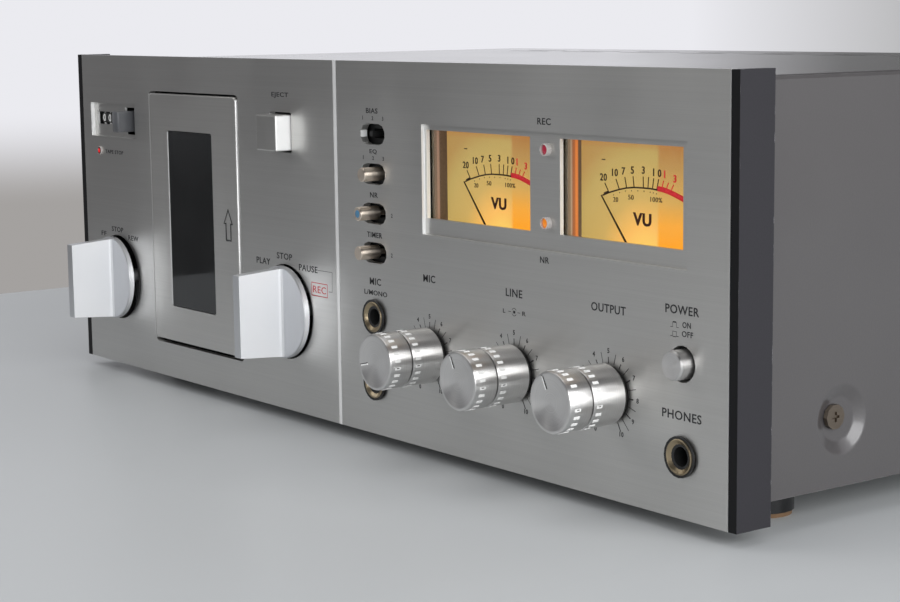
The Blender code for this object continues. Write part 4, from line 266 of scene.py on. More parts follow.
def turned_metal(name, centre, low, high, rough, anisotropic):
    """Metal with rings round a Y axis through a point of the panel."""
    material, tree, shader = start_material(name, {"Metallic": 1.0, "Anisotropic": anisotropic})
    spot = object_spot(tree, centre)
    rings = place_group(tree, RING_LINES, spot)
    handled = place_group(tree, SMUDGES, spot, Size=60.0)["Mask"]
    wire(tree, shader, {"Base Color": blend_colour(tree, rings["Tone"], low, high),
                        "Roughness": mix(tree, handled, *rough)})
    raise_surface(tree, shader, rings["Height"], 0.12, 0.00002)
    spread_across(tree, shader, vector_maths(tree, "CROSS_PRODUCT", (0.0, 1.0, 0.0), spot)[0])
    return material


def plain_metal(name, low, high, rough, size, strength, metallic=1.0):
    """Cast, plated or sheet metal with a slight grain."""
    material, tree, shader = start_material(name, {"Metallic": metallic})
    spot = object_spot(tree)
    grain = place_group(tree, GRAIN, spot, Size=size)
    handled = place_group(tree, SMUDGES, spot, Size=30.0)["Mask"]
    wire(tree, shader, {"Base Color": blend_colour(tree, handled, low, high),
                        "Roughness": mix(tree, grain["Tone"], *rough)})
    raise_surface(tree, shader, grain["Height"], strength, 0.0001)
    return material


def moulded(name, low, high, rough, size, strength, worn=None, coat=0.0, specular=0.5, zone=None, least=0.42):
    """Plastic, paint, rubber or felt; worn is the colour of rubbed edges, zone a second colour past a place."""
    material, tree, shader = start_material(name, {"Coat Weight": coat, "Coat Roughness": 0.15,
                                                   "Specular IOR Level": specular})
    spot = object_spot(tree)
    grain = place_group(tree, GRAIN, spot, Size=size)
    colour = blend_colour(tree, grain["Tone"], low, high)
    roughness = mix(tree, place_group(tree, SMUDGES, spot, Size=22.0)["Mask"], *rough)
    if worn:
        colour = blend_colour(tree, place_group(tree, EDGE_WEAR, spot, Least=least)["Mask"], colour, worn)
    if zone:
        axis, edge, other_colour, other_rough = zone
        mask = span(tree, part_of(tree, spot, axis), edge - 0.00005, edge + 0.00005)
        colour = blend_colour(tree, mask, other_colour, colour)
        roughness = mix(tree, mask, other_rough, roughness)
    wire(tree, shader, {"Base Color": colour, "Roughness": roughness})
    raise_surface(tree, shader, grain["Height"], strength, 0.00015)
    return material


def printed(name, low, high):
    """Screen-printed ink with a slightly uneven tone."""
    material, tree, shader = start_material(name, {"Specular IOR Level": 0.35})
    tone = place_group(tree, GRAIN, object_spot(tree), Size=2500.0)["Tone"]
    wire(tree, shader, {"Base Color": blend_colour(tree, tone, low, high), "Roughness": mix(tree, tone, 0.4, 0.6)})
    return material


def glazed(name, tint, rough, wiped_tint, clear=1.0, bend=1.49):
    """Clear or smoked sheet, with faint wipe marks."""
    material, tree, shader = start_material(name, {"Transmission Weight": clear, "IOR": bend})
    wiped = place_group(tree, SMUDGES, object_spot(tree), Size=40.0)["Mask"]
    wire(tree, shader, {"Base Color": blend_colour(tree, wiped, tint, wiped_tint),
                        "Roughness": mix(tree, wiped, *rough)})
    return material


def colour_ramp(tree, value, steps):
    """A colour from a value, through a list of (place, colour)."""
    node = add(tree, "ShaderNodeValToRGB", {0: value})
    ramp = node.color_ramp
    for element, (place, colour) in zip(ramp.elements, (steps[0], steps[-1])):
        element.position, element.color = place, (*colour, 1.0)
    for place, colour in steps[1:-1]:
        ramp.elements.new(place).color = (*colour, 1.0)
    return node.outputs[0]


GLOW_STEPS = ((0.0, (1.0, 0.7, 0.15)), (0.2, (0.95, 0.5, 0.11)), (0.44, (0.58, 0.38, 0.105)),
              (0.8, (0.48, 0.345, 0.105)), (1.0, (0.42, 0.25, 0.075)))
BESIDE_STEPS = ((0.0, (1.0, 0.37, 0.015)), (0.18, (0.92, 0.38, 0.03)), (0.42, (0.62, 0.36, 0.085)),
                (0.75, (0.45, 0.25, 0.07)), (1.0, (0.4, 0.17, 0.045)))
CARD_TOP = (0.42, 0.17, 0.045)
# Painted light on the meters' left walls, front to back: the meter lamp's warm glow, highlight lines and shade at the
# back; the bands differ between the two meters.
WALL_LIGHT_STEPS = {
    "left": ((0.0, (0.12, 0.09, 0.07)), (0.19, (0.13, 0.09, 0.075)), (0.22, (0.26, 0.17, 0.14)),
             (0.36, (0.24, 0.15, 0.12)), (0.42, (0.05, 0.032, 0.024)), (1.0, (0.042, 0.026, 0.02))),
    "right": ((0.0, (0.17, 0.13, 0.095)), (0.16, (0.16, 0.12, 0.09)), (0.2, (0.36, 0.29, 0.22)),
              (0.28, (0.3, 0.19, 0.13)), (0.34, (0.26, 0.08, 0.035)), (0.48, (0.36, 0.1, 0.035)),
              (0.56, (0.6, 0.19, 0.045)), (0.7, (0.56, 0.17, 0.04)), (0.76, (0.07, 0.045, 0.035)),
              (1.0, (0.06, 0.035, 0.03))),
}


def lit_scale(name, hot):
    """The lamp-lit card of one meter: dull gold at the top, brightest over the lamp below, orange beside it."""
    material, tree, shader = start_material(name, {"Roughness": 0.6, "Emission Strength": 1.0})
    spot = object_spot(tree, hot)
    parts = add(tree, "ShaderNodeSeparateXYZ", {0: spot}).outputs
    reach = vector_maths(tree, "LENGTH", spot)["Value"]
    glow = colour_ramp(tree, span(tree, reach, 0.01, 0.046), GLOW_STEPS)
    beside = colour_ramp(tree, span(tree, parts["Z"], 0.009, 0.0415), BESIDE_STEPS)
    glow = blend_colour(tree, span(tree, parts["X"], 0.0042, 0.0062, soft=True), glow, beside)
    glow = blend_colour(tree, span(tree, parts["Z"], 0.0385, 0.0415, 0.0, 0.75), glow, CARD_TOP)
    paper = place_group(tree, GRAIN, spot, Size=700.0)["Tone"]
    wire(tree, shader, {"Base Color": blend_colour(tree, paper, (0.1, 0.08, 0.04), (0.14, 0.11, 0.06)),
                        "Emission Color": glow})
    return material


def striped_wall(name, front, back, steps):
    """Left wall inside a meter, glowing, with painted light in bands from front to back: lamp glow, highlight lines
    and shade at the back.
    """
    material, tree, shader = start_material(name, {"Roughness": 0.45, "Emission Strength": 0.75})
    spot = object_spot(tree)
    deep = span(tree, part_of(tree, spot, "Y"), PANEL_ORIGIN.y + front * MM, PANEL_ORIGIN.y + back * MM)
    paint = mix(tree, place_group(tree, GRAIN, spot)["Tone"], 0.0, 0.2)
    toned = blend_colour(tree, paint, colour_ramp(tree, deep, steps), (0.3, 0.2, 0.1))
    wire(tree, shader, {"Base Color": toned, "Emission Color": toned})
    return material


def lamp_lens(name, low, high, glow, rough=0.12, coat=0.6):
    """Coloured lens, or lamp-lit ink, with a soft glow of its own."""
    material, tree, shader = start_material(name, {"Roughness": rough, "Emission Strength": glow,
                                                   "Coat Weight": coat})
    tone = place_group(tree, GRAIN, object_spot(tree), Size=600.0)["Tone"]
    colour = blend_colour(tree, tone, low, high)
    wire(tree, shader, {"Base Color": colour, "Emission Color": colour})
    return material


# Finishes

panel_finish = brushed_metal("brushed_panel", (0.56, 0.555, 0.54), (0.73, 0.725, 0.705), (0.32, 0.42))
door_finish = brushed_metal("brushed_door", (0.61, 0.605, 0.585), (0.78, 0.77, 0.745), (0.32, 0.42))
# Painted highlight: the seam strip is a real metal trim, given a near-white, mostly non-metal colour so that it reads
# as a bright lit line.
seam_highlight_finish = plain_metal("bright_strip", (0.8, 0.8, 0.79), (0.88, 0.88, 0.87), (0.28, 0.36), 900.0, 0.05,
                           metallic=0.3)
button_finish = brushed_metal("brushed_button", (0.5, 0.495, 0.48), (0.64, 0.635, 0.615), (0.34, 0.42))
# Painted highlight: the levers' side faces take a near-white colour that stands in for the bright light from the
# right.
lever_finish = drawn_metal("satin_lever", (0.58, 0.59, 0.61), (0.66, 0.67, 0.69), (0.36, 0.42), (0.93, 0.94, 0.96))
chrome_finish = plain_metal("polished_head", (0.72, 0.72, 0.73), (0.8, 0.8, 0.81), (0.22, 0.32), 900.0, 0.05)
brass_finish = plain_metal("brass", (0.36, 0.29, 0.19), (0.46, 0.38, 0.26), (0.26, 0.38), 900.0, 0.06)
pulley_finish = plain_metal("pulley_brass", (0.6, 0.44, 0.22), (0.72, 0.55, 0.3), (0.2, 0.32), 900.0, 0.06)
zinc_finish = plain_metal("zinc_sheet", (0.55, 0.55, 0.54), (0.6, 0.6, 0.59), (0.38, 0.46), 420.0, 0.06)
steel_finish = plain_metal("dark_steel", (0.16, 0.16, 0.17), (0.24, 0.24, 0.25), (0.3, 0.46), 500.0, 0.1)
screw_finish = plain_metal("bronzed_screw", (0.13, 0.105, 0.085), (0.21, 0.175, 0.14), (0.26, 0.4), 700.0, 0.15)
cover_finish = moulded("cover_paint", (0.057, 0.053, 0.054), (0.07, 0.065, 0.066), (0.32, 0.4), 1500.0, 0.2,
                       worn=(0.15, 0.145, 0.145), coat=1.0)
# Painted shade: the zone makes the end caps' front faces near-black, darker than their sides.
end_finish = moulded("black_end", (0.024, 0.023, 0.027), (0.034, 0.033, 0.038), (0.42, 0.54), 1600.0, 0.12,
                     worn=(0.3, 0.3, 0.31), specular=0.2, least=0.54,
                     zone=("Y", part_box("end_cap_right")[0].y + 0.0001, (0.006, 0.006, 0.007), 0.55))
black_finish = moulded("black_plastic", (0.012, 0.012, 0.012), (0.022, 0.022, 0.022), (0.34, 0.48), 1300.0, 0.2,
                       specular=0.4)
holder_finish = moulded("holder_plastic", (0.02, 0.02, 0.021), (0.034, 0.034, 0.035), (0.34, 0.5), 1100.0, 0.2)
RESIN = ((0.2, 0.11, 0.035), (0.27, 0.16, 0.06), (0.4, 0.55), 500.0, 0.2)
board_finish = moulded("board_resin", *RESIN)
# Painted shade: the control board is near-black where it stands in front of the panel face, to darken the gap round
# the base of each knob.
control_finish = moulded("control_resin", *RESIN, zone=("Y", PANEL_ORIGIN.y, (0.008, 0.008, 0.008), 0.5))
foot_finish = moulded("foot_plastic", (0.006, 0.006, 0.007), (0.012, 0.012, 0.013), (0.12, 0.22), 900.0, 0.1,
                      zone=("Z", 0.0016, (0.16, 0.095, 0.05), 0.92))
# Painted highlight: the reset button is black plastic given a paler grey, so that its side reads as brightly lit.
reset_lit_finish = moulded("reset_plastic", (0.085, 0.088, 0.095), (0.11, 0.113, 0.12), (0.3, 0.42), 1200.0, 0.15,
                       specular=0.4)
belt_finish = moulded("belt_rubber", (0.012, 0.012, 0.012), (0.02, 0.02, 0.02), (0.5, 0.65), 1200.0, 0.2)
cream_finish = moulded("meter_cream", (0.5, 0.42, 0.3), (0.58, 0.49, 0.36), (0.45, 0.6), 900.0, 0.1)
bezel_finish = moulded("clear_bezel", (0.42, 0.39, 0.37), (0.5, 0.47, 0.45), (0.1, 0.18), 900.0, 0.05, coat=0.6)
smoked_finish = glazed("smoked_window", (0.036, 0.038, 0.04), (0.03, 0.07), (0.044, 0.046, 0.048), clear=0.6)
clear_finish = glazed("clear_window", (0.97, 0.97, 0.96), (0.0, 0.02), (0.95, 0.95, 0.94), bend=1.12)
red_lens = lamp_lens("red_lens", (0.28, 0.01, 0.03), (0.38, 0.016, 0.045), 0.25)
stop_lens = lamp_lens("stop_lens", (0.62, 0.008, 0.01), (0.74, 0.014, 0.016), 0.5)
amber_lens = lamp_lens("amber_lens", (0.72, 0.19, 0.006), (0.82, 0.25, 0.012), 0.35)
blue_lens = moulded("blue_dot", (0.05, 0.17, 0.3), (0.08, 0.22, 0.36), (0.2, 0.3), 900.0, 0.1)
black_ink = printed("black_ink", (0.02, 0.02, 0.021), (0.032, 0.032, 0.034))
card_ink = printed("card_brown", (0.036, 0.018, 0.01), (0.05, 0.026, 0.014))
lit_red_ink = lamp_lens("lit_red_ink", (0.52, 0.016, 0.024), (0.62, 0.022, 0.032), 0.55, rough=0.5, coat=0.0)
needle_ink = printed("needle_brown", (0.03, 0.014, 0.008), (0.045, 0.022, 0.012))
red_ink = printed("red_ink", (0.5, 0.022, 0.03), (0.6, 0.034, 0.042))
maroon_ink = printed("maroon_ink", (0.055, 0.012, 0.01), (0.085, 0.02, 0.015))
white_ink = printed("white_ink", (0.8, 0.8, 0.78), (0.88, 0.88, 0.86))

SLOT_FINISHES = {
    "panel_metal": (panel_finish, door_finish, button_finish),
    "polished_metal": (lever_finish, seam_highlight_finish, chrome_finish),
    "brass_metal": (brass_finish, pulley_finish),
    "zinc_steel": (zinc_finish,),
    "dark_metal": (steel_finish, screw_finish),
    "cover_paint": (cover_finish,),
    "black_paint": (end_finish, black_ink, card_ink, lit_red_ink, needle_ink, red_ink, maroon_ink),
    "black_plastic": (black_finish, holder_finish, reset_lit_finish, blue_lens),
    "board_resin": (board_finish, control_finish),
    "foot_rubber": (foot_finish, belt_finish),
    "meter_cream": (cream_finish, white_ink),
    "smoked_window": (smoked_finish,),
    "clear_window": (clear_finish, bezel_finish, red_lens, stop_lens, amber_lens),
}
FINISH_SLOT = {finish: slot for slot, finishes in SLOT_FINISHES.items() for finish in finishes}


# Shapes, in millimetres

def finish_piece(name, bm, material, body="cabinet", stands_for=(), smooth=None):
    """Turns a bmesh made in millimetres into a piece that rides on a body; smooth is the sharpest turn, in
    degrees, that is shaded as a curve."""
    bmesh.ops.remove_doubles(bm, verts=bm.verts, dist=0.0005)
    bmesh.ops.recalc_face_normals(bm, faces=bm.faces)
    bmesh.ops.scale(bm, vec=(MM, MM, MM), verts=bm.verts)
    bmesh.ops.translate(bm, vec=PANEL_ORIGIN, verts=bm.verts)
    place_piece(name, bm, material, body, stands_for, smooth)


def put_in_scene(name, data):
    """A new object for a mesh, a lamp or a camera."""
    made = bpy.data.objects.new(name, data)
    bpy.context.scene.collection.objects.link(made)
    return made


LARGE_FACE = 30 * MM * MM
FLAT_TURN = math.radians(3.0)


def shade_smooth(bm, degrees):
    """Smooth shading over gentle turns, with large flat faces left truly flat."""
    bm.normal_update()
    for face in bm.faces:
        face.smooth = True
    for edge in bm.edges:
        if len(edge.link_faces) == 2:
            flat = max(face.calc_area() for face in edge.link_faces) > LARGE_FACE
            edge.smooth = edge.calc_face_angle() < (FLAT_TURN if flat else math.radians(degrees))


def place_piece(name, bm, material, body, stands_for, smooth):
    """Puts a finished bmesh in the scene, in metres, on its body, with its material."""
    if smooth:
        shade_smooth(bm, smooth)
    mesh = bpy.data.meshes.new(name)
    bm.to_mesh(mesh)
    bm.free()
    mesh.materials.append(material)
    piece = put_in_scene(name, mesh)
    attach(piece, body)
    if stands_for:
        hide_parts(*stands_for)


def block(bm, x, y, z, round_by=0.0):
    """A block between three spans, its edges eased."""
    made = bmesh.ops.create_cube(bm, size=1.0)["verts"]
    bmesh.ops.scale(bm, vec=[high - low for low, high in (x, y, z)], verts=made)
    bmesh.ops.translate(bm, vec=[(low + high) / 2 for low, high in (x, y, z)], verts=made)
    if round_by:
        edges = list({edge for vert in made for edge in vert.link_edges})
        made = list({vert for face in soften_edges(bm, edges, round_by) for vert in face.verts})
    return made


def soften_edges(bm, chosen, width, segments=1):
    """Rounds some edges and returns the faces made."""
    return bmesh.ops.bevel(bm, geom=chosen, offset=width, segments=segments, affect="EDGES", profile=0.5,
                           material=-1, clamp_overlap=True)["faces"]


def turned_piece(name, profile, centre, material, body, smooth, stands_for=(), steps=64):
    """A piece turned from a profile of (radius, y) round the Y axis through a point of the panel."""
    bm = bmesh.new()
    rings = []
    for step in range(steps):
        spots = [(*around(centre, radius, 360 * step / steps), y) for radius, y in profile]
        rings.append([bm.verts.new((x, y, z)) for x, z, y in spots])
    for ring, following in zip(rings, rings[1:] + rings[:1]):
        for corners in zip(ring, ring[1:], following[1:], following):
            bm.faces.new(corners)
    finish_piece(name, bm, material, body, stands_for, smooth)


def add_mesh(bm, mesh, matrix):
    """Puts a mesh into a bmesh, moved by a matrix."""
    before = len(bm.verts)
    bm.from_mesh(mesh)
    bm.verts.ensure_lookup_table()
    bmesh.ops.transform(bm, matrix=matrix, verts=bm.verts[before:])
    bpy.data.meshes.remove(mesh)


def curve_mesh(curve):
    """A curve made a mesh, and the curve cleared away."""
    holder = bpy.data.objects.new(curve.name, curve)
    mesh = bpy.data.meshes.new_from_object(holder)
    bpy.data.objects.remove(holder)
    bpy.data.curves.remove(curve)
    return mesh


def add_words(bm, words, x, z, wide, tall, y=PRINT_Y, bold=0.13):
    """Raised print, fitted to a height and, where one is given, a width, centred on a point of the panel."""
    curve = bpy.data.curves.new("words", "FONT")
    curve.body = words
    curve.size = 10.0
    curve.space_character = 1.08
    curve.resolution_u = 3
    curve.extrude = (y[1] - y[0]) / 2
    curve.offset = bold
    mesh = curve_mesh(curve)
    across = [vert.co.x for vert in mesh.vertices]
    up = [vert.co.y for vert in mesh.vertices]
    high = tall / (max(up) - min(up))
    broad = wide / (max(across) - min(across)) if wide else high
    centred = Matrix.Translation((-(max(across) + min(across)) / 2, -(max(up) + min(up)) / 2, 0.0))
    stand = Matrix.Rotation(math.radians(90), 4, "X")
    place = Matrix.Translation((x, (y[0] + y[1]) / 2, z))
    add_mesh(bm, mesh, place @ stand @ Matrix.Diagonal((broad, high, 1.0, 1.0)) @ centred)


def add_line(bm, points, width, y=PRINT_Y):
    """A printed line through points (x, z)."""
    curve = bpy.data.curves.new("line", "CURVE")
    curve.dimensions = "3D"
    curve.bevel_depth = width / 2
    curve.bevel_resolution = 1
    curve.use_fill_caps = True
    spline = curve.splines.new("POLY")
    spline.points.add(len(points) - 1)
    for point, (x, z) in zip(spline.points, points):
        point.co = (x, 0.0, z, 1.0)
    flat = Matrix.Diagonal((1.0, (y[1] - y[0]) / width, 1.0, 1.0))
    add_mesh(bm, curve_mesh(curve), Matrix.Translation((0.0, (y[0] + y[1]) / 2, 0.0)) @ flat)


def around(centre, radius, degrees):
    """A point on a circle, degrees clockwise from straight up."""
    turn = math.radians(degrees)
    return (centre[0] + radius * math.sin(turn), centre[1] + radius * math.cos(turn))


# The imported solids, each with its own finish

NODE_BODY = {node: body for body, nodes in frame["record"]["behaviour"]["bodies"].items() for node in nodes}
KNOBS = {"mic": (60.0, 35.85), "line": (110.0, 35.85), "output": (160.0, 35.85)}
POWER = (195.3, 50.4)
DIMPLE = (51.5, 29.0)
DIMPLE_REACH = 13.0
DIMPLE_ROUND = 0.9
JACK_MOUTHS = {"low_mic": (24.3, 20.2), "high_mic": (24.3, 46.0), "phones": (195.0, 20.4)}
MOUTH_RADIUS = 3.6
MOUTH_SINK = 1.1
LEVERS = {"winding_lever": (-186.0, -4.4), "play_lever": (-39.5, -3.3)}
LEVER_BAR_HALF = 2.45
LEVER_EDGE = 0.7
LEVER_FILLET = 3.6
NEAR = 0.05
SOLID_TURN = 32.0


def panel_spot(point):
    """A point in metres, as millimetres from the panel's origin."""
    return (point - PANEL_ORIGIN) / MM


def soften_dimples(bm):
    """Rounds the rims of the pressed screw dimples on both sides of the cover."""
    chosen = []
    for edge in bm.edges:
        if len(edge.link_faces) == 2 and math.radians(12) < edge.calc_face_angle() < math.radians(50):
            ends = [panel_spot(vert.co) for vert in edge.verts]
            if all(math.hypot(end.y - DIMPLE[0], end.z - DIMPLE[1]) < DIMPLE_REACH for end in ends):
                chosen.append(edge)
    soften_edges(bm, chosen, DIMPLE_ROUND * MM, 3)


def lever_fillets(name):
    """Fillets where a lever's bar meets its disc, and eased outer edges."""
    def shape(bm):
        middle, face_y = LEVERS[name]
        joins = []
        outer = []
        for edge in bm.edges:
            if len(edge.link_faces) != 2:
                continue
            ends = [panel_spot(vert.co) for vert in edge.verts]
            on_side = all(abs(abs(end.x - middle) - LEVER_BAR_HALF) < NEAR for end in ends)
            if on_side and all(abs(end.y - face_y) < NEAR for end in ends):
                joins.append(edge)
            elif edge.calc_face_angle() > math.radians(50) and all(end.y < face_y + NEAR for end in ends):
                outer.append(edge)
        soften_edges(bm, outer, LEVER_EDGE * MM, 4)
        joins = [edge for edge in joins if edge.is_valid]
        soften_edges(bm, joins, LEVER_FILLET * MM, 6)
    return shape


def finer_needle(side):
    """A needle as thin as the real pointer, about the line from its pivot."""
    def shape(bm):
        lean = math.radians(NEEDLE_LEAN)
        along = Vector((math.sin(lean), 0.0, math.cos(lean)))
        across = Vector((math.cos(lean), 0.0, -math.sin(lean)))
        pivot = PANEL_ORIGIN + Vector((METERS[side], 0.0, NEEDLE_PIVOT_Z)) * MM
        for vert in bm.verts:
            arm = vert.co - pivot
            if arm.dot(along) > NEEDLE_HUB * MM:
                vert.co -= across * arm.dot(across) * NEEDLE_THINNING
    return shape


METERS = {"left": 87.555, "right": 163.805}
NEEDLE_PIVOT_Z = 77.5
NEEDLE_LEAN = -39.7
NEEDLE_HUB = 8.0
NEEDLE_THINNING = 0.42
SHAPERS = {"meter_needle_left": finer_needle("left"), "meter_needle_right": finer_needle("right"),
           "top_cover": soften_dimples, "winding_lever": lever_fillets("winding_lever"),
           "play_lever": lever_fillets("play_lever")}


def open_jack(bm):
    """Coned mouths for the jacks, where their flat rims meet the bores."""
    for vert in bm.verts:
        spot = panel_spot(vert.co)
        for x, z in JACK_MOUTHS.values():
            if spot.y < -0.5 and math.hypot(spot.x - x, spot.z - z) < MOUTH_RADIUS:
                vert.co.y += MOUTH_SINK * MM


def middle_of(node):
    """The middle (x, z) of a node, in millimetres on the panel."""
    low, high = (panel_spot(Vector(corner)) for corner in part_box(node))
    return ((low.x + high.x) / 2, (low.z + high.z) / 2)


def refined(node, material):
    """A merged copy of a CAD solid, smooth where it is round; the jacks get coned mouths, and the needles, the
    cover's dimples and the levers' edges are reshaped.
    """
    source = frame["nodes"][node]
    bm = bmesh.new()
    bm.from_mesh(source.data)
    bmesh.ops.transform(bm, matrix=source.matrix_world, verts=bm.verts)
    bmesh.ops.remove_doubles(bm, verts=bm.verts, dist=0.000002)
    if node in ("phones_jack", "mic_jack_pair"):
        open_jack(bm)
    if node in SHAPERS or node == "cassette_door":
        bmesh.ops.dissolve_limit(bm, angle_limit=math.radians(0.5), verts=bm.verts, edges=bm.edges)
    if node in SHAPERS:
        SHAPERS[node](bm)
    sharpest = 12.0 if node == "eject_button" else SOLID_TURN
    place_piece(node + "_looks", bm, material, NODE_BODY[node], (node,), sharpest)


def repaint(node, material):
    """A CAD solid that stays as it is, with a better material."""
    for place in frame["nodes"][node].material_slots:
        place.material = material


knob_metal = {}
for label, centre in (*KNOBS.items(), ("power", POWER)):
    knob_metal[label] = turned_metal(label + "_spun_metal", centre, (0.62, 0.61, 0.6), (0.77, 0.76, 0.75),
                                     (0.3, 0.33), anisotropic=0.7)
    FINISH_SLOT[knob_metal[label]] = "spun_metal"
cap_metal = {}
for label in ("eq", "nr", "timer"):
    cap_metal[label] = turned_metal(label + "_champagne_cap", middle_of(label + "_switch_lever"),
                                    (0.8, 0.69, 0.58), (0.9, 0.8, 0.69), (0.3, 0.36), anisotropic=0.8)
    FINISH_SLOT[cap_metal[label]] = "champagne_metal"

REFINED = {
    "top_cover": cover_finish, "chassis_tray": zinc_finish,
    **{"foot_" + corner: foot_finish for corner in ("front_left", "front_right", "rear_left", "rear_right")},
    "cover_screw_left": screw_finish, "cover_screw_right": screw_finish, "drive_motor": zinc_finish,
    "drive_belt": belt_finish, "cassette_door": door_finish, "cassette_holder": holder_finish,
    "supply_spindle": black_finish, "takeup_spindle": black_finish, "capstan_flywheel": steel_finish,
    "motor_pulley": pulley_finish, "head_bridge": zinc_finish, "record_play_head": chrome_finish,
    "erase_head": black_finish, "pinch_roller": belt_finish, "winding_lever": lever_finish,
    "play_lever": lever_finish, "eject_button": button_finish,
    **{"counter_wheel_" + place: black_finish for place in ("hundreds", "tens", "units")},
    "counter_reset_button": reset_lit_finish, "bias_switch_lever": black_finish,
    **{label + "_switch_lever": metal for label, metal in cap_metal.items()},
    "mic_jack_pair": black_finish, "phones_jack": black_finish, "power_button": knob_metal["power"],
    "main_board": board_finish, "power_transformer": steel_finish, "rear_socket_block": black_finish,
    "mains_inlet": black_finish, "end_cap_left": end_finish, "end_cap_right": end_finish,
    "meter_needle_left": needle_ink, "meter_needle_right": needle_ink,
}
KEPT = {
    "front_panel_left": panel_finish, "front_panel_right": panel_finish, "panel_seam_strip": seam_highlight_finish,
    "rear_panel": zinc_finish, "mechanism_plate": steel_finish, "counter_frame": black_finish,
    "selector_switch_bank": black_finish, "level_control_board": control_finish,
    "power_switch": black_finish, "meter_unit": cream_finish, "meter_window": clear_finish,
}
for node_name, material in REFINED.items():
    refined(node_name, material)
for node_name, material in KEPT.items():
    repaint(node_name, material)


# The door's smoked pane: a sheet behind the door with a raised step that fills the opening flush

PANE_BORDER = 5.0
PANE_STEP = 3.0
pane = bmesh.new()
block(pane, (-138.9, -90.9), (2.65, 4.15), (28.2, 116.0))
pane.normal_update()
front = [face for face in pane.faces if face.normal.y < -0.9]
bmesh.ops.inset_region(pane, faces=front, thickness=PANE_BORDER, use_even_offset=True)
bmesh.ops.inset_region(pane, faces=front, thickness=0.02, depth=PANE_STEP, use_even_offset=True)
finish_piece("smoked_door_pane", pane, smoked_finish, "door", ("door_window",))


# Knobs: two turned sections each, with a ring of pale dashes

KNOB_RADIUS = 10.35
KNOB_EDGE = 0.4
KNOB_TIP_Y = -25.2
KNOB_DASHES = 24
DASH_PROUD = 0.16
MARK_TURN = 98.0
SPACER_Y = (-15.35, -15.05)


def block_on_knob(bm, centre, degrees, x, y, z, round_by):
    """A small block on a knob, turned clockwise from straight up."""
    spin = Matrix.Translation((centre[0], 0.0, centre[1])) @ Matrix.Rotation(math.radians(degrees), 4, "Y")
    bmesh.ops.transform(bm, matrix=spin, verts=block(bm, x, y, z, round_by))


def knob_section(name, node, centre, front, back, dash_y, metal, body):
    """One turned section of a double knob, its ring of dashes and its dark mark."""
    profile = [(0.0, front + 0.25), (KNOB_RADIUS - 1.5, front + 0.14), (KNOB_RADIUS - 1.2, front),
               (KNOB_RADIUS - KNOB_EDGE, front), (KNOB_RADIUS - 0.12, front + 0.12), (KNOB_RADIUS, front + KNOB_EDGE),
               (KNOB_RADIUS, back - KNOB_EDGE), (KNOB_RADIUS - KNOB_EDGE, back), (0.0, back)]
    turned_piece(name, profile, centre, metal, body, 28.0, (node,), steps=96)
    rim = (KNOB_RADIUS - 0.3, KNOB_RADIUS + DASH_PROUD)
    y = (front + dash_y[0], front + dash_y[1])
    dashes = bmesh.new()
    for step in range(KNOB_DASHES):
        block_on_knob(dashes, centre, (step + 0.5) * 360 / KNOB_DASHES, (-0.5, 0.5), y, rim, 0.025)
    finish_piece(name + "_dashes", dashes, white_ink, body)
    mark = bmesh.new()
    block_on_knob(mark, centre, MARK_TURN, (-0.4, 0.4), (y[0] + 0.6, y[1] - 0.6), rim, 0.025)
    finish_piece(name + "_mark", mark, black_ink, body)


def knob_pointer(name, centre, degrees, body):
    """The pointer filled with white beside a dark line."""
    for part, material, side, half in (("dark", black_ink, 0.26, 0.16), ("pale", white_ink, -0.18, 0.24)):
        bm = bmesh.new()
        block_on_knob(bm, centre, degrees, (side - half, side + half), (KNOB_TIP_Y, KNOB_TIP_Y + 0.3),
                      (4.6, KNOB_RADIUS - 0.6), 0.05)
        finish_piece(name + "_pointer_" + part, bm, material, body)


for (label, centre), degrees in zip(KNOBS.items(), (-103.0, -25.5, -25.5)):
    knob_section(label + "_front_section", label + "_knob_front", centre, KNOB_TIP_Y, -15.4, (2.0, 4.4),
                 knob_metal[label], label + "_front")
    knob_section(label + "_rear_section", label + "_knob_rear", centre, -15.0, -1.2, (1.0, 3.4),
                 knob_metal[label], label + "_rear")
    knob_pointer(label, centre, degrees, label + "_front")
    near, far = SPACER_Y
    turned_piece(label + "_knob_spacer", [(4.0, far), (4.0, near), (9.1, near), (9.2, (near + far) / 2),
                                          (9.1, far), (4.0, far)], centre, black_finish, label + "_front", 30.0)


# Lettering on the panels: words, middle (x, z), width and height of the capitals

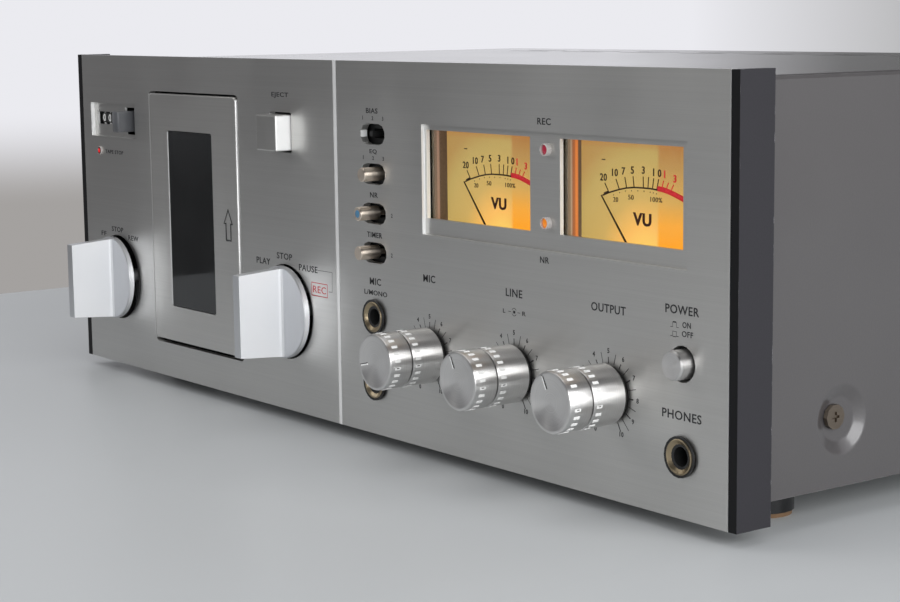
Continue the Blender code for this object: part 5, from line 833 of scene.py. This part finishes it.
PANEL_WORDS = (
    ("EJECT", -40.7, 129.15, 12.7, 2.4), ("TAPE STOP", -186.3, 99.1, 17.6, 1.7),
    ("FF", -199.6, 60.3, 4.9, 2.1), ("STOP", -185.8, 63.1, 11.3, 2.3), ("REW", -170.5, 60.1, 9.7, 2.3),
    ("PLAY", -56.5, 60.35, 10.8, 2.6), ("STOP", -40.0, 63.6, 11.65, 2.6), ("PAUSE", -22.3, 60.25, 13.7, 2.6),
    ("BIAS", 24.6, 125.0, 7.65, 2.0), ("EQ", 25.1, 109.5, 4.8, 1.9), ("NR", 25.1, 93.0, 5.15, 2.0),
    ("TIMER", 25.1, 77.7, 10.0, 2.0), ("MIC", 25.1, 59.7, 7.5, 2.7), ("L/MONO", 25.2, 55.3, 15.3, 1.9),
    ("MIC", 60.1, 64.3, 7.4, 2.8), ("LINE", 110.2, 64.2, 9.2, 2.8), ("OUTPUT", 160.0, 64.3, 17.2, 2.9),
    ("REC", 127.15, 124.7, 7.1, 2.3), ("NR", 127.1, 77.4, 4.8, 2.2),
    ("POWER", 195.2, 67.7, 15.4, 2.9), ("ON", 197.3, 63.1, 3.8, 1.9), ("OFF", 197.7, 60.2, 5.1, 1.9),
    ("PHONES", 195.2, 33.7, 18.1, 3.0), ("L", 104.6, 57.4, 1.3, 1.5), ("R", 115.7, 57.5, 1.95, 1.5),
    ("2", 36.7, 85.9, None, 1.5), ("2", 36.3, 70.8, None, 1.5),
)
words = bmesh.new()
for text, x, z, wide, tall in PANEL_WORDS:
    add_words(words, text, x, z, wide, tall)
for number, x in enumerate((18.4, 25.0, 31.7), 1):
    for z in (122.2, 107.1):
        add_words(words, str(number), x, z, None, 1.5)

# The dial sign between L and R, the signs beside ON and OFF, and the line to the record box
DIAL_SIGN = (110.2, 57.5)
add_line(words, [(106.9, 57.5), (108.3, 57.5)], 0.24)
add_line(words, [(112.1, 57.5), (113.5, 57.5)], 0.24)
for middle in (0, 180):
    add_line(words, [around(DIAL_SIGN, 1.35, middle + turn) for turn in range(-60, 61, 20)], 0.24)
add_line(words, [(109.6, 57.5), (110.8, 57.5)], 1.1)
for row_z, bar_z in ((62.7, 0.95), (59.8, -0.95)):
    add_line(words, [(189.85, row_z - 0.75), (190.9, row_z - 0.75), (190.9, row_z + 0.75), (192.6, row_z + 0.75),
                     (192.6, row_z - 0.75), (193.6, row_z - 0.75)], 0.26)
    add_line(words, [(191.0, row_z + bar_z), (192.5, row_z + bar_z)], 0.3)
add_line(words, [(-15.0, 60.2), (-4.9, 60.3), (-5.1, 52.4), (-7.5, 52.3)], 0.26)
finish_piece("panel_lettering", words, black_ink)

SCALE_STEP = 30.6
scales = bmesh.new()
for centre in KNOBS.values():
    for number in range(11):
        degrees = (number - 5) * SCALE_STEP
        far = {9: 12.9, 10: 13.4}.get(number, 12.3)
        add_line(scales, [around(centre, 10.2, degrees), around(centre, far, degrees)], 0.52)
        add_words(scales, str(number), *around(centre, 14.4, degrees), None, 1.7, bold=0.2)
        if number < 10:
            far = 15.0 if number == 9 else 14.0
            degrees += SCALE_STEP / 2
            add_line(scales, [around(centre, 10.3, degrees), around(centre, far, degrees)], 0.3)
finish_piece("knob_scales", scales, black_ink)

red_box = bmesh.new()
add_words(red_box, "REC", -14.3, 52.4, 9.3, 2.8, bold=0.0)
add_line(red_box, [(-20.0, 49.8), (-8.6, 49.8), (-8.6, 55.0), (-20.0, 55.0), (-20.0, 49.8)], 0.48)
finish_piece("record_box", red_box, red_ink)

arrow = bmesh.new()
add_line(arrow, [(-85.2, 66.5), (-85.2, 73.6), (-86.7, 73.6), (-83.2, 79.6), (-79.9, 73.6), (-81.3, 73.6),
                 (-81.3, 66.5), (-85.2, 66.5)], 0.85, y=(-0.85, -0.5))
finish_piece("door_arrow", arrow, black_ink, "door")


# Meters: lit cards, printed scales, left walls with painted light in bands; prints are placed on the right-hand card

POCKET_HALF = 29.825
POCKET_Z = (74.7, 119.6)
CARD_Y = 11.0
WALL_FRONT_Y = 4.9
CARD_PRINT_Y = (CARD_Y - 0.3, CARD_Y - 0.08)
WINDOW_SHIFT = 0.3
BIG_NUMBERS = (("20", 145.34, 106.3), ("10", 151.13, 108.16), ("7", 155.39, 108.88), ("5", 159.79, 109.43),
               ("3", 165.11, 109.72), ("1", 170.1, 109.3), ("0", 172.9, 109.15))
SMALL_NUMBERS = (("20", 151.49, 99.18, 2.4), ("50", 159.09, 100.42, 2.6), ("100%", 171.4, 100.4, 5.6))
BLACK_TICKS = ((148.1, 101.28, 145.98, 104.38), (153.31, 102.65, 151.58, 106.06),
               (156.93, 103.36, 156.02, 106.93), (160.6, 103.83, 160.06, 107.46),
               (165.13, 103.99, 165.03, 107.63), (167.33, 104.01, 167.66, 107.61),
               (169.52, 103.85, 170.11, 107.33), (171.61, 103.69, 172.46, 107.18))
RED_TICKS = ((174.11, 104.56, 174.79, 106.84), (176.27, 104.4, 177.12, 106.27), (178.41, 103.88, 179.51, 105.77))
BLACK_ARC = ((144.87, 100.15), (148.1, 101.3), (153.31, 102.65), (156.93, 103.36), (160.6, 103.77),
             (165.13, 103.87), (168.5, 103.85), (172.0, 103.64))
RED_ARC = ((171.9, 104.1), (174.5, 103.9), (177.3, 103.4), (180.2, 102.6), (183.2, 101.7), (186.5, 100.4))
DOTS = ((150.39, 100.51), (153.4, 101.44), (156.3, 102.11), (159.3, 102.42), (162.38, 102.56),
        (165.4, 102.64), (168.4, 102.52), (169.9, 102.4), (171.35, 102.19))


def on_card(side, *spots):
    """Points (x, z) read on the right-hand card, moved to either card, and for how the window bends the view."""
    shift = METERS[side] - METERS["right"] + WINDOW_SHIFT
    return [(x + shift, z) for x, z in spots]


def meter_prints(side):
    """The scale, numbers and letters on one card."""
    black = bmesh.new()
    red = bmesh.new()
    for text, x, z in BIG_NUMBERS:
        add_words(black, text, *on_card(side, (x, z))[0], None, 2.5, CARD_PRINT_Y, 0.15)
    for text, x, z, wide in SMALL_NUMBERS:
        add_words(black, text, *on_card(side, (x, z))[0], wide, 1.6, CARD_PRINT_Y, 0.0)
    add_line(black, on_card(side, (144.5, 112.23), (146.2, 112.23)), 0.4, CARD_PRINT_Y)
    for x, z, far_x, far_z in BLACK_TICKS:
        add_line(black, on_card(side, (x, z), (far_x, far_z)), 0.42, CARD_PRINT_Y)
    add_line(black, on_card(side, *BLACK_ARC), 0.6, CARD_PRINT_Y)
    add_line(black, on_card(side, (145.6, 100.75), (147.9, 101.55)), 0.9, CARD_PRINT_Y)
    for x, z in DOTS:
        add_line(black, on_card(side, (x, z), (x + 0.1, z + 0.35)), 0.3, CARD_PRINT_Y)
    for text, x, z in (("1", 175.3, 108.94), ("3", 180.18, 107.75)):
        add_words(red, text, *on_card(side, (x, z))[0], None, 2.5, CARD_PRINT_Y, 0.2)
    for x, z, far_x, far_z in RED_TICKS:
        add_line(red, on_card(side, (x, z), (far_x, far_z)), 0.42, CARD_PRINT_Y)
    add_line(red, on_card(side, *RED_ARC), 2.0, CARD_PRINT_Y)
    add_line(red, on_card(side, (185.6, 112.23), (187.6, 112.23)), 0.4, CARD_PRINT_Y)
    add_line(red, on_card(side, (186.6, 111.23), (186.6, 113.23)), 0.4, CARD_PRINT_Y)
    letters = bmesh.new()
    add_words(letters, "VU", *on_card(side, (164.6, 93.4))[0], 8.9, 4.3, CARD_PRINT_Y, 0.35)
    finish_piece(side + "_meter_black_print", black, card_ink)
    finish_piece(side + "_meter_red_print", red, lit_red_ink)
    finish_piece(side + "_meter_letters", letters, maroon_ink)


for side, middle in METERS.items():
    left, right = middle - POCKET_HALF, middle + POCKET_HALF
    glow = lit_scale(side + "_lit_card", (middle + 3.5, NEEDLE_PIVOT_Z))
    FINISH_SLOT[glow] = "meter_cream"
    card = bmesh.new()
    block(card, (left + 0.05, right - 0.05), (CARD_Y - 0.14, CARD_Y + 0.1), (POCKET_Z[0] + 0.05, POCKET_Z[1] - 0.05),
          0.05)
    finish_piece(side + "_meter_card", card, glow)
    # Painted light: the left wall glows in bands of lamp glow, highlight and shade.
    wall_light = striped_wall(side + "_meter_wall", WALL_FRONT_Y, CARD_Y, WALL_LIGHT_STEPS[side])
    FINISH_SLOT[wall_light] = "meter_cream"
    wall = bmesh.new()
    block(wall, (left - 0.05, left + 0.3), (WALL_FRONT_Y, CARD_Y - 0.14), (POCKET_Z[0] + 0.1, POCKET_Z[1] - 0.1),
          0.05)
    finish_piece(side + "_meter_left_wall", wall, wall_light)
    meter_prints(side)


# Lamps: coloured lenses set back in thin pale collars

def lamp(name, centre, tip_y, radius, lens, collar_radius, collar_y):
    """One domed lens and its collar."""
    dome = [(0.0, tip_y), (radius * 0.45, tip_y + 0.05), (radius * 0.8, tip_y + 0.15), (radius, tip_y + 0.33),
            (radius, tip_y + 2.0), (0.0, tip_y + 2.0)]
    turned_piece(name + "_lens", dome, centre, lens, "cabinet", 50.0, steps=32)
    inner = radius + 0.03
    back = tip_y + 1.9
    ring = [(inner, back), (inner, collar_y + 0.05), (inner + 0.08, collar_y), (collar_radius, collar_y + 0.3),
            (collar_radius, back), (inner, back)]
    turned_piece(name + "_collar", ring, centre, bezel_finish, "cabinet", 30.0, steps=48)


lamp("record_lamp", (127.11, 115.1), 0.15, 1.75, red_lens, 2.15, -0.4)
lamp("filter_lamp", (127.11, 90.0), 0.15, 1.75, amber_lens, 2.15, -0.4)
lamp("stop_lamp", (-199.9, 99.3), -1.0, 1.65, stop_lens, 1.95, -0.9)


# Counter digits, round each wheel

WHEEL_RADIUS = 6.5
WHEEL_AXIS = (10.0, 114.45)
for body, x in (("counter_hundreds", -201.8), ("counter_tens", -196.4), ("counter_units", -191.0)):
    digits = bmesh.new()
    for number in range(10):
        one = bmesh.new()
        add_words(one, str(number), 0.0, 0.0, None, 3.6, (-0.06, 0.06), 0.2)
        for vert in one.verts:
            turn = vert.co.z / WHEEL_RADIUS + math.radians(number * 36.0)
            reach = WHEEL_RADIUS - vert.co.y
            vert.co = (vert.co.x + x, WHEEL_AXIS[0] - reach * math.cos(turn), WHEEL_AXIS[1] + reach * math.sin(turn))
        mesh = bpy.data.meshes.new("digit")
        one.to_mesh(mesh)
        one.free()
        add_mesh(digits, mesh, Matrix.Identity(4))
    finish_piece(body + "_digits", digits, white_ink, body)


# Jack rings and the dot on one switch cap

JACK_RING = ((3.3, 3.0), (3.3, 0.2), (3.6, -0.1), (5.2, -0.95), (5.4, -1.2), (5.7, -1.25), (5.9, -1.1),
             (5.9, -0.6), (3.7, 3.0), (3.3, 3.0))
for label, centre in JACK_MOUTHS.items():
    turned_piece(label + "_brass_ring", JACK_RING, centre, brass_finish, "cabinet", 30.0)
turned_piece("nr_cap_dot", ((0.0, -5.75), (1.3, -5.7), (1.5, -5.6), (1.5, -5.3), (0.0, -5.3)), (21.8, 85.9),
             blue_lens, "nr_switch", 30.0, steps=32)


# Camera at the photograph's place

CAMERA_PLACE = (0.6541, -0.5571, 0.1671)
CAMERA_TURNS = (53.27, 8.215, -0.688)
CAMERA_LENS = 80.376


def look():
    """A camera turned left, down and over by CAMERA_TURNS, in degrees."""
    yaw, pitch, roll = (math.radians(turn) for turn in CAMERA_TURNS)
    ahead = Vector((-math.sin(yaw) * math.cos(pitch), math.cos(yaw) * math.cos(pitch), -math.sin(pitch)))
    level = Vector((math.cos(yaw), math.sin(yaw), 0.0))
    upright = level.cross(ahead)
    right = math.cos(roll) * level + math.sin(roll) * upright
    up = -math.sin(roll) * level + math.cos(roll) * upright
    data = bpy.data.cameras.new("camera")
    data.sensor_width = 36.0
    data.lens = CAMERA_LENS
    data.clip_start = 0.02
    camera = put_in_scene("camera", data)
    camera.matrix_world = Matrix.Translation(CAMERA_PLACE) @ Matrix((right, up, -ahead)).transposed().to_4x4()
    bpy.context.scene.camera = camera


look()


# Table and light

TABLE_X = (-0.48, 0.95)
TABLE_Y = (-2.0, 2.5)


def table():
    """A flat table top with faint wipe marks."""
    mesh = bpy.data.meshes.new("table")
    mesh.from_pydata([(x, y, 0.0) for x in TABLE_X for y in TABLE_Y], [], [(0, 2, 3, 1)])
    material, tree, shader = start_material("table_top", {"Specular IOR Level": 0.18})
    worn = place_group(tree, SMUDGES, object_spot(tree), Size=6.0)["Mask"]
    wire(tree, shader, {"Base Color": blend_colour(tree, worn, (0.54, 0.555, 0.56), (0.555, 0.57, 0.575)),
                        "Roughness": mix(tree, worn, 0.42, 0.48)})
    mesh.materials.append(material)
    put_in_scene("table", mesh)


table()


def softbox(name, place, aim, size, power, colour=(1.0, 1.0, 1.0)):
    """A flat lamp turned to a point; size is its width and height."""
    data = bpy.data.lights.new(name, "AREA")
    data.shape = "RECTANGLE"
    data.size, data.size_y = size
    data.energy = power
    data.color = colour
    ahead = (Vector(aim) - Vector(place)).normalized()
    turned = ahead.to_track_quat("-Z", "Y").to_matrix().to_4x4()
    put_in_scene(name, data).matrix_world = Matrix.Translation(place) @ turned


softbox("right_softbox", (1.35, -0.25, 0.45), (0.0, -0.2, 0.25), (1.5, 0.95), 18.5, (0.98, 0.99, 1.0))
softbox("front_left_softbox", (-1.3, -1.6, 1.3), (0.0, -0.1, 0.07), (1.3, 1.0), 6.0, (1.0, 0.99, 0.97))
softbox("front_softbox", (0.45, -1.9, 0.22), (0.1, -0.12, 0.05), (0.6, 0.4), 3.5)
softbox("top_softbox", (0.0, -0.3, 1.7), (0.0, 0.0, 0.0), (1.4, 1.2), 5.0)


def room():
    """Pale walls all round; mirrored in the deck, the ceiling and the room in front of it are darker."""
    world = bpy.data.worlds.new("room")
    bpy.context.scene.world = world
    world.use_nodes = True
    tree = world.node_tree
    tree.nodes.clear()
    way = add(tree, "ShaderNodeTexCoord").outputs["Generated"]
    ahead, up = part_of(tree, way, "Y"), part_of(tree, way, "Z")
    wall = blend_colour(tree, span(tree, up, -0.092, -0.045, soft=True), (0.37, 0.355, 0.345), (0.83, 0.83, 0.87))
    wall = blend_colour(tree, span(tree, ahead, 0.69, 0.76), wall, (0.5, 0.5, 0.51))
    corner = maths(tree, "MULTIPLY", span(tree, ahead, 0.66, 0.74), span(tree, up, 0.01, 0.03))
    wall = blend_colour(tree, corner, wall, (0.12, 0.12, 0.12))
    in_front = span(tree, ahead, -0.45, 0.1, 0.165, 1.0)
    overhead = span(tree, up, 0.25, 0.6, 1.0, 0.35)
    rays = add(tree, "ShaderNodeLightPath").outputs
    level = maths(tree, "MAXIMUM", maths(tree, "MULTIPLY", in_front, overhead), rays["Is Camera Ray"])
    seen = add(tree, "ShaderNodeBackground", {"Color": wall, "Strength": level})
    fill = add(tree, "ShaderNodeBackground", {"Color": (0.95, 0.96, 1.0, 1.0), "Strength": 0.48})
    shown = maths(tree, "MAXIMUM", rays["Is Camera Ray"], rays["Is Glossy Ray"])
    shown = maths(tree, "MAXIMUM", shown, rays["Is Transmission Ray"])
    mixed = add(tree, "ShaderNodeMixShader", {0: shown, 1: fill.outputs[0], 2: seen.outputs[0]})
    add(tree, "ShaderNodeOutputWorld", {"Surface": mixed.outputs[0]})


room()
bpy.context.scene.view_settings.view_transform = "Standard"
